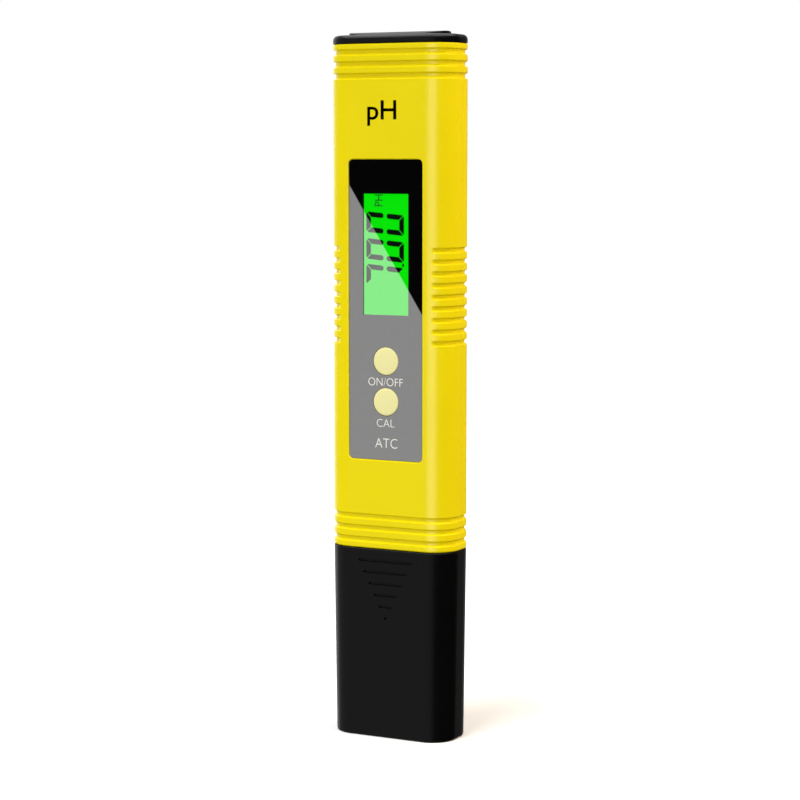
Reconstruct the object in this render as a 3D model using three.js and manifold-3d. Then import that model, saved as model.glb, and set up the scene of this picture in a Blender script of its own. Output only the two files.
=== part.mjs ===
// Pocket pH meter: a pen shaped body of two shells, with a display, two buttons, a battery drawer
// in its top end and a glass electrode in its lower end, standing on its storage cap.
// Millimetres. +Z runs up the pen, -Y is its front, and the origin is under the middle of the cap.
import * as THREE from 'three';
import { mergeVertices } from 'three/addons/utils/BufferGeometryUtils.js';
import Module from 'manifold-3d';

const wasm = await Module();
wasm.setup();

// ---------------------------------------------------------------- driving dimensions

const BODY_WIDTH = 36.6;
const BODY_DEPTH = 17.4;
const BODY_CORNER = 7.3;
const BODY_BOTTOM = 51.3;
const BODY_TOP = 184.6;
const WALL = 1.8;
const FRONT = -BODY_DEPTH / 2;
const INNER_FRONT = FRONT + WALL;
const SEAM_GAP = 0.1; // between the two shells
const FIT_GAP = 0.25; // between pieces that are glued or pushed into each other

// Grooves: rings round both ends of the body, and short ones down its two sides.
const GROOVE_WIDTH = 1.5;
const GROOVE_DEPTH = 0.65;
const GROOVE_PITCH = 3.1;
const RING_COUNT = 3;
const TOP_RING = 182.35;
const LOW_RING = 59.8;
const SIDE_GROOVE_COUNT = 9;
const SIDE_GROOVE_TOP = 130.9;
const SIDE_GROOVE_PITCH = 3.04;
const SIDE_GROOVE_START = 14.2; // distance from the middle at which a side groove begins

// Front panel with its window and its two buttons.
const PANEL_WIDTH = 21.2;
const PANEL_BOTTOM = 75.4;
const PANEL_TOP = 154.25;
const PANEL_CORNER = 1.0;
const PANEL_FRONT = FRONT + 0.3;
const PANEL_THICK = 0.7;
const RECESS_DEPTH = 1.15;
const WINDOW_X = 0;
const WINDOW_WIDTH = 13.4;
const WINDOW_BOTTOM = 113.7;
const WINDOW_TOP = 145.5;
const WINDOW_CORNER = 0.4;
const LENS_GAP = 0.1; // between the lens and its opening
const BUTTON_X = 0.1;
const BUTTON_RADIUS = 3.7;
const BUTTON_HOLE_RADIUS = 3.9;
const BUTTON_EDGE = 0.25; // width of the slope round the button's face
const BUTTON_DOME = 0.08;
const POWER_Z = 101.5;
const CALIBRATE_Z = 90.7;

// Button stack, from the cap's face to the switch on the board, as depths along Y.
const BUTTON_FACE = PANEL_FRONT - 0.12;
const FLANGE_FRONT = INNER_FRONT + 0.2;
const FLANGE_THICK = 0.5;
const FLANGE_RADIUS = 4.5;
const GASKET_SHEET = [19.4, 23.4, 2]; // width, height, corner radius
const GASKET_HOLE_RADIUS = FLANGE_RADIUS + 0.3;
const GASKET_FRONT = FLANGE_FRONT - 0.05;
const PLUNGER_FRONT = FLANGE_FRONT + FLANGE_THICK + 0.1;
const PLUNGER_LENGTH = 0.9;
const PLUNGER_RADIUS = 1.7;
const SWITCH_FRONT = PLUNGER_FRONT + 0.55;
const SWITCH_SIDE = 6.0;
const SWITCH_WELL_DEPTH = 1.1;
const SWITCH_WELL_RADIUS = PLUNGER_RADIUS + 0.15;

// Circuit board and what it carries.
const BOARD_FRONT = -2.8;
const BOARD_BACK = -1.6;
const BOARD_WIDTH = 24.8;
const BOARD_BOTTOM = 68.0;
const BOARD_TOP = 166.4;
const BOARD_CORNER = 1.5;
const SOLDER_GAP = 0.1;
const SCREW_X = 8.9;
const SCREW_LOW = 71.6;
const SCREW_HIGH = 159.5;
const SCREW_RADIUS = 0.8;
const SCREW_HEAD_RADIUS = 1.8;
const SCREW_HEAD_THICK = 1.2;
const SCREW_TIP = INNER_FRONT - BOARD_BACK + 0.4; // below the head, along the screw
const SCREW_HOLE_RADIUS = 1.1;
const CROSS_LENGTH = 2.2;
const CROSS_WIDTH = 0.5;
const CROSS_DEPTH = 0.6;
const BOSS_RADIUS = 2.1;
const RIB_HEIGHTS = [108, 152]; // ribs in the rear shell that press on the board's back
const RIB_HALF_WIDTH = 6;
const RIB_THICK = 1.2;
const ROOT_DEPTH = 0.3; // how far bosses and ribs reach into the wall that they stand on
const CHIP_SIZE = [10, 1.6, 10];
const CHIP_Z = 128;
const AMPLIFIER_SIZE = [5, 1.5, 4];
const AMPLIFIER_Z = 88;
const CRYSTAL_SIZE = [8, 2.6, 3.4];
const CRYSTAL_X = 3;
const CRYSTAL_Z = 142;

// Display stack behind the window.
const LCD_WIDTH = 16.0;
const LCD_HEIGHT = 35.2;
const LCD_FRONT = FRONT + 1.2;
const LCD_THICK = 1.8;
const LCD_BACK = LCD_FRONT + LCD_THICK;
const LCD_Z = (WINDOW_BOTTOM + WINDOW_TOP) / 2;
const LCD_CORNER = 0.3;
const FRAME_BORDER = 1.4;
const FRAME_CORNER = 1;
const FRAME_HOLE = [LCD_WIDTH - 0.4, LCD_HEIGHT + 0.6, 0.4];
const GUIDE_WIDTH = 15.0;
const GUIDE_TAPER = 0.9;
const GUIDE_BACK = BOARD_FRONT - 0.3;
const GUIDE_BOTTOM = LCD_Z - 13.4;
const GUIDE_TOP = LCD_Z + 15.6;
const ZEBRA_WIDTH = 14.4;
const ZEBRA_HEIGHT = 2.4;
const ZEBRA_FRONT = LCD_BACK + 0.1;
const ZEBRA_TOP = GUIDE_BOTTOM - 0.4;
const LED_GAP = 0.3; // between the lamps and the guide's end
const LED_SIZE = [3.0, 1.6, 1.2];
const LED_SPACING = 8.0;

// Battery drawer, with its four cells in a row from side to side.
const BEZEL_TOP = 186.9;
const BEZEL_SKIRT = 4.0;
const BEZEL_ROOT = 1; // how far the skirt reaches up into the rim
const DRAWER_WIDTH = 24.0;
const DRAWER_DEPTH = 11.8;
const DRAWER_CORNER = 2.4;
const HEAD_WIDTH = 28.4;
const HEAD_DEPTH = 13.0;
const HEAD_CORNER = 6.4;
const HEAD_BOTTOM = 185.9;
const HEAD_TOP = 187.8;
const CROWN_RADIUS = 28; // the head's top is arched from front to back
const SEAT_BOTTOM = HEAD_BOTTOM - 0.2;
const CELL_RADIUS = 5.8;
const CELL_THICK = 5.3;
const CELL_PITCH = 5.4;
const CELL_COUNT = 4;
const CELL_Z = 175.8;
const CELL_EDGE = 0.3;
const CELL_RIM = 0.9; // height of the sloping rim under the cell's raised cap
const CELL_CAP_STEP = 0.5;
const CELL_CAP_RADIUS = 4.9;
const CELL_GAP = 0.2; // above and below the cells in their tray
const NECK_BOTTOM = CELL_Z + CELL_RADIUS + CELL_GAP;
const NECK_ROOT = 0.5; // how far the neck reaches into the head, and the tray into the neck
const TRAY_FLOOR = 0.9;
const TRAY_BOTTOM = CELL_Z - CELL_RADIUS - CELL_GAP - TRAY_FLOOR;
const TRAY_END = 11.6;
const TRAY_END_THICK = 0.65;
const TRAY_SLOT = 4.6;
const TRAY_SLOT_DEPTH = 0.3; // how far the slots reach in past the tray's end walls
const TRAY_SLOT_TOP = CELL_Z + 4;
const SEAL_BOTTOM = 183.2;
const SEAL_HEIGHT = 1.2;
const SEAL_SINK = 0.8; // how deep a seal's groove goes into the neck or the spigot
const SEAL_SLACK = 0.1; // between a seal and its groove
const SEAL_PROUD = 0.15;
const WELL_HALF_WIDTH = 13.7;
const WELL_DEPTH = DRAWER_DEPTH + 0.6;
const WELL_WALL = 0.5;
const WELL_FLOOR = 1;
const WELL_FLOOR_TOP = TRAY_BOTTOM - 0.5;
const WELL_CORNER = 4.0;
const WELL_TOP = 180.2;
const CONTACT_THICK = 0.3;
const CONTACT_WIDTH = 3.6;
const CONTACT_SLOT_WIDTH = CONTACT_WIDTH + 0.4;
const CONTACT_SLOT_START = 12.2;
const CONTACT_LINE = [
  // from the tail, over the bulge that meets the cells, to the tip: X, and Z from the cells' middle
  [12.75, -14.8],
  [12.75, -4.3],
  [11.8, -1.6],
  [11.15, 0],
  [11.8, 1.6],
  [12.6, 3.2],
];

// Lower end: the electrode's holder, its electrode, and the cap over them.
const CAP_GAP = 0.15;
const CAP_TOP = BODY_BOTTOM - CAP_GAP;
const CAP_TOP_SECTION = [36.4, 17.4, 7.1]; // width, depth, corner radius
const CAP_FOOT_SECTION = [35.0, 16.9, 6.7];
const CAP_WALL = 1.6;
const CAP_FLOOR = 2.2;
const GRIP_BARS = 6;
const GRIP_TOP = 48.0;
const GRIP_PITCH = 3.07;
const GRIP_HALF_WIDTH = 7.65;
const GRIP_NARROWING = 1.5; // how much shorter each bar is than the one above it, on each side
const GRIP_HEIGHT = 0.7;
const GRIP_DEPTH = 0.4;
const SPONGE_HEIGHT = 4.0;
const SPONGE_SIDE_GAP = 0.3;
const SPONGE_BOTTOM = CAP_FLOOR + 0.1;
const SPIGOT_SECTION = [31.6, 13.2, 4.9];
const SPIGOT_BOTTOM = 36.0;
const HOLDER_TOP = 62.0;
const HOLDER_BORE = 5.4;
const RING_SEAL_Z = 43.0;
const RING_SEAL_HEIGHT = 1.4;
const RING_SEAL_PROUD = 0.25;
const SLEEVE_RADIUS = 6.3;
const SLEEVE_WALL = 0.9;
const SLEEVE_TOP = SPIGOT_BOTTOM - 0.2;
const SLEEVE_FLOOR_TOP = 18.0;
const SLEEVE_FLOOR_BOTTOM = 16.0;
const SLEEVE_TIP = 8.0;
const SLEEVE_TIP_EDGE = 0.5;
const PRONG_GAP = 4.4;
const PRONG_ROOT = SLEEVE_FLOOR_BOTTOM - 1;
const GLASS_RADIUS = 2.6;
const GLASS_WALL = 0.5;
const GLASS_TOP = 56.0;
const GLASS_BORE_RADIUS = GLASS_RADIUS + 0.15;
const TUBE_START = SLEEVE_FLOOR_BOTTOM + 0.4; // where the glass is as wide as its tube
const BULB_RADIUS = 3.1;
const BULB_NECK_RADIUS = GLASS_RADIUS - 0.15;
const BULB_Z = 12.6;
const SIDE_BORE_X = 4.2; // where the reference and the temperature probe pass, right and left
const PROBE_RADIUS = 1.0;
const PROBE_BORE_RADIUS = PROBE_RADIUS + 0.1;
const PROBE_TIP = 11.0;
const JUNCTION_RADIUS = 0.85;
const JUNCTION_BOTTOM = SLEEVE_FLOOR_BOTTOM - 0.3;
const JUNCTION_TOP = SLEEVE_FLOOR_TOP + 0.4;
const WIRE_RADIUS = 0.3;
const WIRE_TOP = GLASS_TOP + 1;
const REFERENCE_WIRE_BOTTOM = 20;
const PLUG_RADIUS = HOLDER_BORE - 0.15;
const PLUG_BOTTOM = 51.0;
const PLUG_TOP = 61.0;
const PLUG_SOCKET_TOP = GLASS_TOP + 0.3;
const LEAD_RADIUS = 0.5;
const LEAD_BORE_RADIUS = LEAD_RADIUS + 0.2;
const LEAD_BOARD_X = 3.4; // where the two outer leads land on the board

const ARC_STEPS = 3; // three.js takes twice as many points for each quarter of a corner
const ROUND_STEPS = 24;
const CROWN_STEPS = 96;
const SMALL_STEPS = 12; // on bars and bores under about 5 mm across
const WIRE_STEPS = 8;
const BEYOND = 2; // how far a cutting tool reaches past what it cuts

// ---------------------------------------------------------------- materials

function finish(color, roughness, metalness = 0) {
  return new THREE.MeshStandardMaterial({ color, roughness, metalness });
}

const MATERIALS = {
  yellow: finish(0xe6cf10, 0.38),
  black: finish(0x17171a, 0.5),
  panel: finish(0x303030, 0.15),
  clear: finish(0xdfe9e6, 0.05),
  lcd: finish(0x2fd540, 0.3),
  diffuser: finish(0xdff2dc, 0.6),
  button: finish(0xf1e79d, 0.45),
  rubber: finish(0x1c1c1c, 0.85),
  board: finish(0x1f5b36, 0.5),
  chip: finish(0x202124, 0.6),
  steel: finish(0xb9bcbe, 0.3, 1),
  bronze: finish(0xc49a55, 0.35, 1),
  silver: finish(0xcfd0d2, 0.35, 1),
  glass: finish(0xd9ecef, 0.05),
  white: finish(0xe9e7e0, 0.6),
  resin: finish(0x6d5a36, 0.4),
  sponge: finish(0xf0e3b4, 0.95),
  red: finish(0xa82a22, 0.6),
};

// ---------------------------------------------------------------- solids from three.js shapes

// A closed three.js geometry as a solid that can be joined and cut.
function solid(geometry) {
  const bare = geometry.clone();
  bare.deleteAttribute('normal');
  bare.deleteAttribute('uv');
  const merged = mergeVertices(bare);
  const corners = merged.getIndex().array;
  const triangles = [];
  for (let i = 0; i < corners.length; i += 3) {
    const [a, b, c] = corners.slice(i, i + 3);
    if (a !== b && b !== c && c !== a) triangles.push(a, b, c);
  }
  return new wasm.Manifold(new wasm.Mesh({
    numProp: 3,
    vertProperties: new Float32Array(merged.getAttribute('position').array),
    triVerts: new Uint32Array(triangles),
  }));
}

function toGeometry(shape) {
  const mesh = shape.getMesh();
  const geometry = new THREE.BufferGeometry();
  geometry.setAttribute('position', new THREE.BufferAttribute(mesh.vertProperties, 3));
  geometry.setIndex(new THREE.BufferAttribute(mesh.triVerts, 1));
  geometry.computeVertexNormals();
  return geometry;
}

function joinAll(shapes) {
  return shapes.reduce((whole, shape) => whole.add(shape));
}

function cutAll(base, tools) {
  return tools.reduce((rest, tool) => rest.subtract(tool), base);
}

// A rectangle with round corners, centred on (x, y).
function roundedRect(width, height, radius, x = 0, y = 0) {
  const right = x + width / 2 - radius;
  const left = x - width / 2 + radius;
  const top = y + height / 2 - radius;
  const bottom = y - height / 2 + radius;
  const shape = new THREE.Shape();
  shape.absarc(right, top, radius, 0, Math.PI / 2);
  shape.absarc(left, top, radius, Math.PI / 2, Math.PI);
  shape.absarc(left, bottom, radius, Math.PI, 1.5 * Math.PI);
  shape.absarc(right, bottom, radius, 1.5 * Math.PI, 2 * Math.PI);
  return shape;
}

function extruded(shape, depth) {
  return new THREE.ExtrudeGeometry(shape, { depth, bevelEnabled: false, curveSegments: ARC_STEPS });
}

// An outline in X and Y, pulled up from one height to another.
function prism(shape, low, high) {
  return solid(extruded(shape, high - low).translate(0, 0, low));
}

// An outline in X and Z, pulled back from its front face to its back face.
function plate(shape, front, back) {
  return solid(extruded(shape, back - front).rotateX(Math.PI / 2).translate(0, back, 0));
}

// An outline in Y and Z, pulled from side to side.
function slab(shape, left, right) {
  const bar = extruded(shape, right - left);
  return solid(bar.rotateX(Math.PI / 2).rotateZ(Math.PI / 2).translate(left, 0, 0));
}

// A prism whose low end is drawn in to another section: [width, depth, corner radius].
function taperedPrism(lowSection, highSection, low, high) {
  const geometry = extruded(roundedRect(...highSection), high - low);
  const position = geometry.getAttribute('position');
  const scaleX = lowSection[0] / highSection[0];
  const scaleY = lowSection[1] / highSection[1];
  for (let i = 0; i < position.count; i += 1) {
    if (position.getZ(i) === 0) {
      position.setX(i, position.getX(i) * scaleX);
      position.setY(i, position.getY(i) * scaleY);
    }
  }
  return solid(geometry.translate(0, 0, low));
}

function block(xRange, yRange, zRange) {
  const ranges = [xRange, yRange, zRange];
  const sizes = ranges.map(([low, high]) => high - low);
  const middles = ranges.map(([low, high]) => (low + high) / 2);
  return solid(new THREE.BoxGeometry(...sizes).translate(...middles));
}

// A round bar along Z.
function uprightBar(radius, x, y, low, high, steps = ROUND_STEPS) {
  const bar = new THREE.CylinderGeometry(radius, radius, high - low, steps);
  return solid(bar.rotateX(Math.PI / 2).translate(x, y, (low + high) / 2));
}

// A round bar along Y.
function levelBar(radius, x, z, front, back, steps = ROUND_STEPS) {
  const bar = new THREE.CylinderGeometry(radius, radius, back - front, steps);
  return solid(bar.translate(x, (front + back) / 2, z));
}

// A round bar along X.
function sideBar(radius, y, z, left, right, steps) {
  const bar = new THREE.CylinderGeometry(radius, radius, right - left, steps);
  return solid(bar.rotateZ(Math.PI / 2).translate((left + right) / 2, y, z));
}

// A turned solid about the Z axis, from [radius, height] points that run upwards outside.
function turned(points, steps = ROUND_STEPS) {
  const profile = points.map(([radius, height]) => new THREE.Vector2(radius, height));
  return solid(new THREE.LatheGeometry(profile, steps).rotateX(Math.PI / 2));
}

// A thin strip of sheet in the XZ plane that follows a bent line, as wide along Y as asked.
function bentStrip(points, thickness, width) {
  const line = points.map(([x, z]) => new THREE.Vector2(x, z));
  const side = (sign) => line.map((point, i) => {
    const before = line[Math.max(i - 1, 0)];
    const after = line[Math.min(i + 1, line.length - 1)];
    const along = after.clone().sub(before).normalize();
    return new THREE.Vector2(-along.y, along.x).multiplyScalar((sign * thickness) / 2).add(point);
  });
  const outline = new THREE.Shape([...side(1), ...side(-1).reverse()]);
  return plate(outline, -width / 2, width / 2);
}

// A round wire along a smooth line through [x, y, z] points.
function wire(points, radius) {
  const path = new THREE.CatmullRomCurve3(points.map((point) => new THREE.Vector3(...point)));
  const section = new THREE.Shape();
  section.absarc(0, 0, radius, 0, 2 * Math.PI);
  const settings = { extrudePath: path, steps: 12, curveSegments: 4, bevelEnabled: false };
  return solid(new THREE.ExtrudeGeometry(section, settings));
}

// The body's outline, drawn in by an inset.
function bodySection(inset) {
  return roundedRect(BODY_WIDTH - 2 * inset, BODY_DEPTH - 2 * inset, BODY_CORNER - inset);
}

function inset([width, depth, radius], amount) {
  return [width - 2 * amount, depth - 2 * amount, radius - amount];
}

// The room that a seal takes out of a plug of the given section, between two levels.
function sealGroove(section, low, high) {
  const core = prism(roundedRect(...inset(section, SEAL_SINK)), low - BEYOND, high + BEYOND);
  return prism(roundedRect(...inset(section, -BEYOND)), low, high).subtract(core);
}

// The seal in that room, which stands proud of the plug.
function sealRing(section, low, high, proud) {
  const core = prism(roundedRect(...inset(section, SEAL_SINK - SEAL_SLACK)), low - BEYOND, high + BEYOND);
  const outside = prism(roundedRect(...inset(section, -proud)), low + SEAL_SLACK, high - SEAL_SLACK);
  return outside.subtract(core);
}

// ---------------------------------------------------------------- the two shells

function grooveRing(z) {
  const low = z - GROOVE_WIDTH / 2;
  const high = z + GROOVE_WIDTH / 2;
  const core = prism(bodySection(GROOVE_DEPTH), low - BEYOND, high + BEYOND);
  return prism(bodySection(-BEYOND), low, high).subtract(core);
}

function shellTube() {
  const cavity = prism(bodySection(WALL), BODY_BOTTOM - BEYOND, BODY_TOP + BEYOND);
  const grooves = [];
  for (let i = 0; i < RING_COUNT; i += 1) {
    grooves.push(grooveRing(TOP_RING - i * GROOVE_PITCH));
    grooves.push(grooveRing(LOW_RING - i * GROOVE_PITCH));
  }
  const middle = block(
    [-SIDE_GROOVE_START, SIDE_GROOVE_START],
    [-BODY_DEPTH, BODY_DEPTH],
    [BODY_BOTTOM, BODY_TOP],
  );
  for (let i = 0; i < SIDE_GROOVE_COUNT; i += 1) {
    grooves.push(grooveRing(SIDE_GROOVE_TOP - i * SIDE_GROOVE_PITCH).subtract(middle));
  }
  return cutAll(prism(bodySection(0), BODY_BOTTOM, BODY_TOP), [cavity, ...grooves]);
}

function halfSpace(front) {
  const range = front ? [-BODY_DEPTH, -SEAM_GAP / 2] : [SEAM_GAP / 2, BODY_DEPTH];
  return block([-BODY_WIDTH, BODY_WIDTH], range, [0, BODY_TOP + BEYOND]);
}

function screwPlaces() {
  return [
    [-SCREW_X, SCREW_LOW],
    [SCREW_X, SCREW_LOW],
    [-SCREW_X, SCREW_HIGH],
    [SCREW_X, SCREW_HIGH],
  ];
}

function frontShell(tube) {
  const recessShape = roundedRect(
    PANEL_WIDTH + 2 * FIT_GAP,
    PANEL_TOP - PANEL_BOTTOM + 2 * FIT_GAP,
    PANEL_CORNER + FIT_GAP,
    0,
    (PANEL_TOP + PANEL_BOTTOM) / 2,
  );
  const recess = plate(recessShape, FRONT - BEYOND, FRONT + RECESS_DEPTH);
  const displayHole = block(
    [WINDOW_X - LCD_WIDTH / 2 - FIT_GAP, WINDOW_X + LCD_WIDTH / 2 + FIT_GAP],
    [FRONT - BEYOND, INNER_FRONT + BEYOND],
    [LCD_Z - LCD_HEIGHT / 2 - FIT_GAP, LCD_Z + LCD_HEIGHT / 2 + FIT_GAP],
  );
  const buttonHoles = [POWER_Z, CALIBRATE_Z].map((z) => (
    levelBar(BUTTON_HOLE_RADIUS, BUTTON_X, z, FRONT - BEYOND, INNER_FRONT + BEYOND)
  ));
  const bosses = screwPlaces().map(([x, z]) => (
    levelBar(BOSS_RADIUS, x, z, INNER_FRONT - ROOT_DEPTH, BOARD_FRONT - FIT_GAP, SMALL_STEPS)
  ));
  const bossHoles = screwPlaces().map(([x, z]) => (
    levelBar(SCREW_HOLE_RADIUS, x, z, INNER_FRONT, BOARD_FRONT + BEYOND, SMALL_STEPS)
  ));
  const half = tube.intersect(halfSpace(true));
  return cutAll(joinAll([half, ...bosses]), [recess, displayHole, ...buttonHoles, ...bossHoles]);
}

function rearShell(tube) {
  const ribs = RIB_HEIGHTS.map((z) => block(
    [-RIB_HALF_WIDTH, RIB_HALF_WIDTH],
    [BOARD_BACK + FIT_GAP, BODY_DEPTH / 2 - WALL + ROOT_DEPTH],
    [z - RIB_THICK / 2, z + RIB_THICK / 2],
  ));
  return joinAll([tube.intersect(halfSpace(false)), ...ribs]);
}

// ---------------------------------------------------------------- panel, display and buttons

function displayPanel() {
  const middle = (PANEL_TOP + PANEL_BOTTOM) / 2;
  const height = PANEL_TOP - PANEL_BOTTOM;
  const sheet = roundedRect(PANEL_WIDTH, height, PANEL_CORNER, 0, middle);
  const windowHeight = WINDOW_TOP - WINDOW_BOTTOM;
  const opening = roundedRect(WINDOW_WIDTH, windowHeight, WINDOW_CORNER, WINDOW_X, LCD_Z);
  const back = PANEL_FRONT + PANEL_THICK;
  const holes = [POWER_Z, CALIBRATE_Z].map((z) => (
    levelBar(BUTTON_HOLE_RADIUS, BUTTON_X, z, FRONT - BEYOND, back + BEYOND)
  ));
  const tools = [plate(opening, FRONT - BEYOND, back + BEYOND), ...holes];
  return cutAll(plate(sheet, PANEL_FRONT, back), tools);
}

function windowLens() {
  const width = WINDOW_WIDTH - 2 * LENS_GAP;
  const height = WINDOW_TOP - WINDOW_BOTTOM - 2 * LENS_GAP;
  const pane = roundedRect(width, height, WINDOW_CORNER, WINDOW_X, LCD_Z);
  return plate(pane, PANEL_FRONT, PANEL_FRONT + PANEL_THICK);
}

function lcdGlass() {
  return plate(roundedRect(LCD_WIDTH, LCD_HEIGHT, LCD_CORNER, WINDOW_X, LCD_Z), LCD_FRONT, LCD_BACK);
}

function lcdFrame() {
  const front = LCD_BACK + FIT_GAP;
  const back = BOARD_FRONT - SOLDER_GAP;
  const width = LCD_WIDTH + 2 * FRAME_BORDER;
  const height = LCD_HEIGHT + 2 * FRAME_BORDER;
  const outside = plate(roundedRect(width, height, FRAME_CORNER, WINDOW_X, LCD_Z), front, back);
  const hole = roundedRect(...FRAME_HOLE, WINDOW_X, LCD_Z);
  return outside.subtract(plate(hole, front - BEYOND, back + BEYOND));
}

// A wedge that is thicker at the lamps' end, as side lit guides are.
function lightGuide() {
  const front = LCD_BACK + FIT_GAP;
  const wedge = new THREE.Shape([
    new THREE.Vector2(front, GUIDE_BOTTOM),
    new THREE.Vector2(GUIDE_BACK - GUIDE_TAPER, GUIDE_BOTTOM),
    new THREE.Vector2(GUIDE_BACK, GUIDE_TOP),
    new THREE.Vector2(front, GUIDE_TOP),
  ]);
  return slab(wedge, WINDOW_X - GUIDE_WIDTH / 2, WINDOW_X + GUIDE_WIDTH / 2);
}

function zebraStrip() {
  return block(
    [WINDOW_X - ZEBRA_WIDTH / 2, WINDOW_X + ZEBRA_WIDTH / 2],
    [ZEBRA_FRONT, BOARD_FRONT - SOLDER_GAP],
    [ZEBRA_TOP - ZEBRA_HEIGHT, ZEBRA_TOP],
  );
}

function centredBlock([x, y, z]) {
  return block([-x / 2, x / 2], [-y / 2, y / 2], [-z / 2, z / 2]);
}

// Round cap with a slightly domed face, and a flange that keeps it behind the shell.
// Its own origin is on its axis, with depths as in the body.
function buttonCap() {
  const depth = FLANGE_FRONT + FLANGE_THICK - BUTTON_FACE;
  const points = [
    [0, 0],
    [FLANGE_RADIUS, 0],
    [FLANGE_RADIUS, FLANGE_THICK],
    [BUTTON_RADIUS, FLANGE_THICK],
    [BUTTON_RADIUS, depth - BUTTON_EDGE],
    [BUTTON_RADIUS - BUTTON_EDGE, depth - BUTTON_DOME],
    [0, depth],
  ];
  const profile = points.map(([radius, height]) => new THREE.Vector2(radius, height));
  const cap = new THREE.LatheGeometry(profile, ROUND_STEPS);
  return solid(cap.rotateX(Math.PI).translate(0, FLANGE_FRONT + FLANGE_THICK, 0));
}

function buttonGasket() {
  const middle = (POWER_Z + CALIBRATE_Z) / 2;
  const back = FLANGE_FRONT + FLANGE_THICK;
  const holes = [POWER_Z, CALIBRATE_Z].map((z) => (
    levelBar(GASKET_HOLE_RADIUS, BUTTON_X, z, GASKET_FRONT - BEYOND, back + BEYOND)
  ));
  const sheet = roundedRect(...GASKET_SHEET, BUTTON_X, middle);
  return cutAll(plate(sheet, GASKET_FRONT, back), holes);
}

function switchBody() {
  const half = SWITCH_SIDE / 2;
  const back = BOARD_FRONT - SOLDER_GAP;
  const body = block([-half, half], [SWITCH_FRONT, back], [-half, half]);
  const well = SWITCH_FRONT + SWITCH_WELL_DEPTH;
  return body.subtract(levelBar(SWITCH_WELL_RADIUS, 0, 0, SWITCH_FRONT - BEYOND, well));
}

function switchPlunger() {
  return levelBar(PLUNGER_RADIUS, 0, 0, PLUNGER_FRONT, PLUNGER_FRONT + PLUNGER_LENGTH);
}

// ---------------------------------------------------------------- circuit board

function circuitBoard() {
  const height = BOARD_TOP - BOARD_BOTTOM;
  const middle = (BOARD_TOP + BOARD_BOTTOM) / 2;
  const sheet = roundedRect(BOARD_WIDTH, height, BOARD_CORNER, 0, middle);
  const holes = screwPlaces().map(([x, z]) => (
    levelBar(SCREW_HOLE_RADIUS, x, z, BOARD_FRONT - BEYOND, BOARD_BACK + BEYOND, SMALL_STEPS)
  ));
  return cutAll(plate(sheet, BOARD_FRONT, BOARD_BACK), holes);
}

// Self tapping screw with a cross in its head; its own origin is under the head.
function boardScrew() {
  const shank = levelBar(SCREW_RADIUS, 0, 0, SCREW_TIP, SCREW_HEAD_THICK / 4, SMALL_STEPS);
  const head = levelBar(SCREW_HEAD_RADIUS, 0, 0, 0, SCREW_HEAD_THICK, SMALL_STEPS);
  const long = [-CROSS_LENGTH / 2, CROSS_LENGTH / 2];
  const short = [-CROSS_WIDTH / 2, CROSS_WIDTH / 2];
  const depth = [SCREW_HEAD_THICK - CROSS_DEPTH, SCREW_HEAD_THICK + BEYOND];
  const slots = [block(long, depth, short), block(short, depth, long)];
  return cutAll(shank.add(head), slots);
}

// ---------------------------------------------------------------- battery drawer

function topBezel() {
  const rim = prism(bodySection(0), BODY_TOP + CAP_GAP, BEZEL_TOP);
  const skirt = prism(bodySection(WALL + FIT_GAP), BODY_TOP - BEZEL_SKIRT, BODY_TOP + BEZEL_ROOT);
  const mouth = roundedRect(...inset([DRAWER_WIDTH, DRAWER_DEPTH, DRAWER_CORNER], -FIT_GAP));
  const seat = roundedRect(...inset([HEAD_WIDTH, HEAD_DEPTH, HEAD_CORNER], -FIT_GAP));
  return cutAll(rim.add(skirt), [
    prism(mouth, BODY_TOP - BEZEL_SKIRT - BEYOND, BEZEL_TOP + BEYOND),
    prism(seat, SEAT_BOTTOM, BEZEL_TOP + BEYOND),
  ]);
}

function batteryDrawer() {
  const section = [DRAWER_WIDTH, DRAWER_DEPTH, DRAWER_CORNER];
  const crown = sideBar(CROWN_RADIUS, 0, HEAD_TOP - CROWN_RADIUS, -HEAD_WIDTH, HEAD_WIDTH, CROWN_STEPS);
  const head = prism(roundedRect(HEAD_WIDTH, HEAD_DEPTH, HEAD_CORNER), HEAD_BOTTOM, HEAD_TOP + BEYOND)
    .intersect(crown);
  const neck = prism(roundedRect(...section), NECK_BOTTOM, HEAD_BOTTOM + NECK_ROOT);
  const sealRoom = sealGroove(section, SEAL_BOTTOM, SEAL_BOTTOM + SEAL_HEIGHT);
  const inner = TRAY_END - TRAY_END_THICK;
  const tray = prism(
    roundedRect(2 * TRAY_END, DRAWER_DEPTH, DRAWER_CORNER),
    TRAY_BOTTOM,
    NECK_BOTTOM + NECK_ROOT,
  );
  const cellRoom = block(
    [-inner, inner],
    [-DRAWER_DEPTH, DRAWER_DEPTH],
    [TRAY_BOTTOM + TRAY_FLOOR, NECK_BOTTOM],
  );
  const slotStart = inner - TRAY_SLOT_DEPTH;
  const slots = [-1, 1].map((side) => block(
    side < 0 ? [-TRAY_END - BEYOND, -slotStart] : [slotStart, TRAY_END + BEYOND],
    [-TRAY_SLOT / 2, TRAY_SLOT / 2],
    [TRAY_BOTTOM - BEYOND, TRAY_SLOT_TOP],
  ));
  return cutAll(joinAll([head, neck, tray]), [sealRoom, cellRoom, ...slots]);
}

function batterySeal() {
  const section = [DRAWER_WIDTH, DRAWER_DEPTH, DRAWER_CORNER];
  return sealRing(section, SEAL_BOTTOM, SEAL_BOTTOM + SEAL_HEIGHT, SEAL_PROUD);
}

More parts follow.
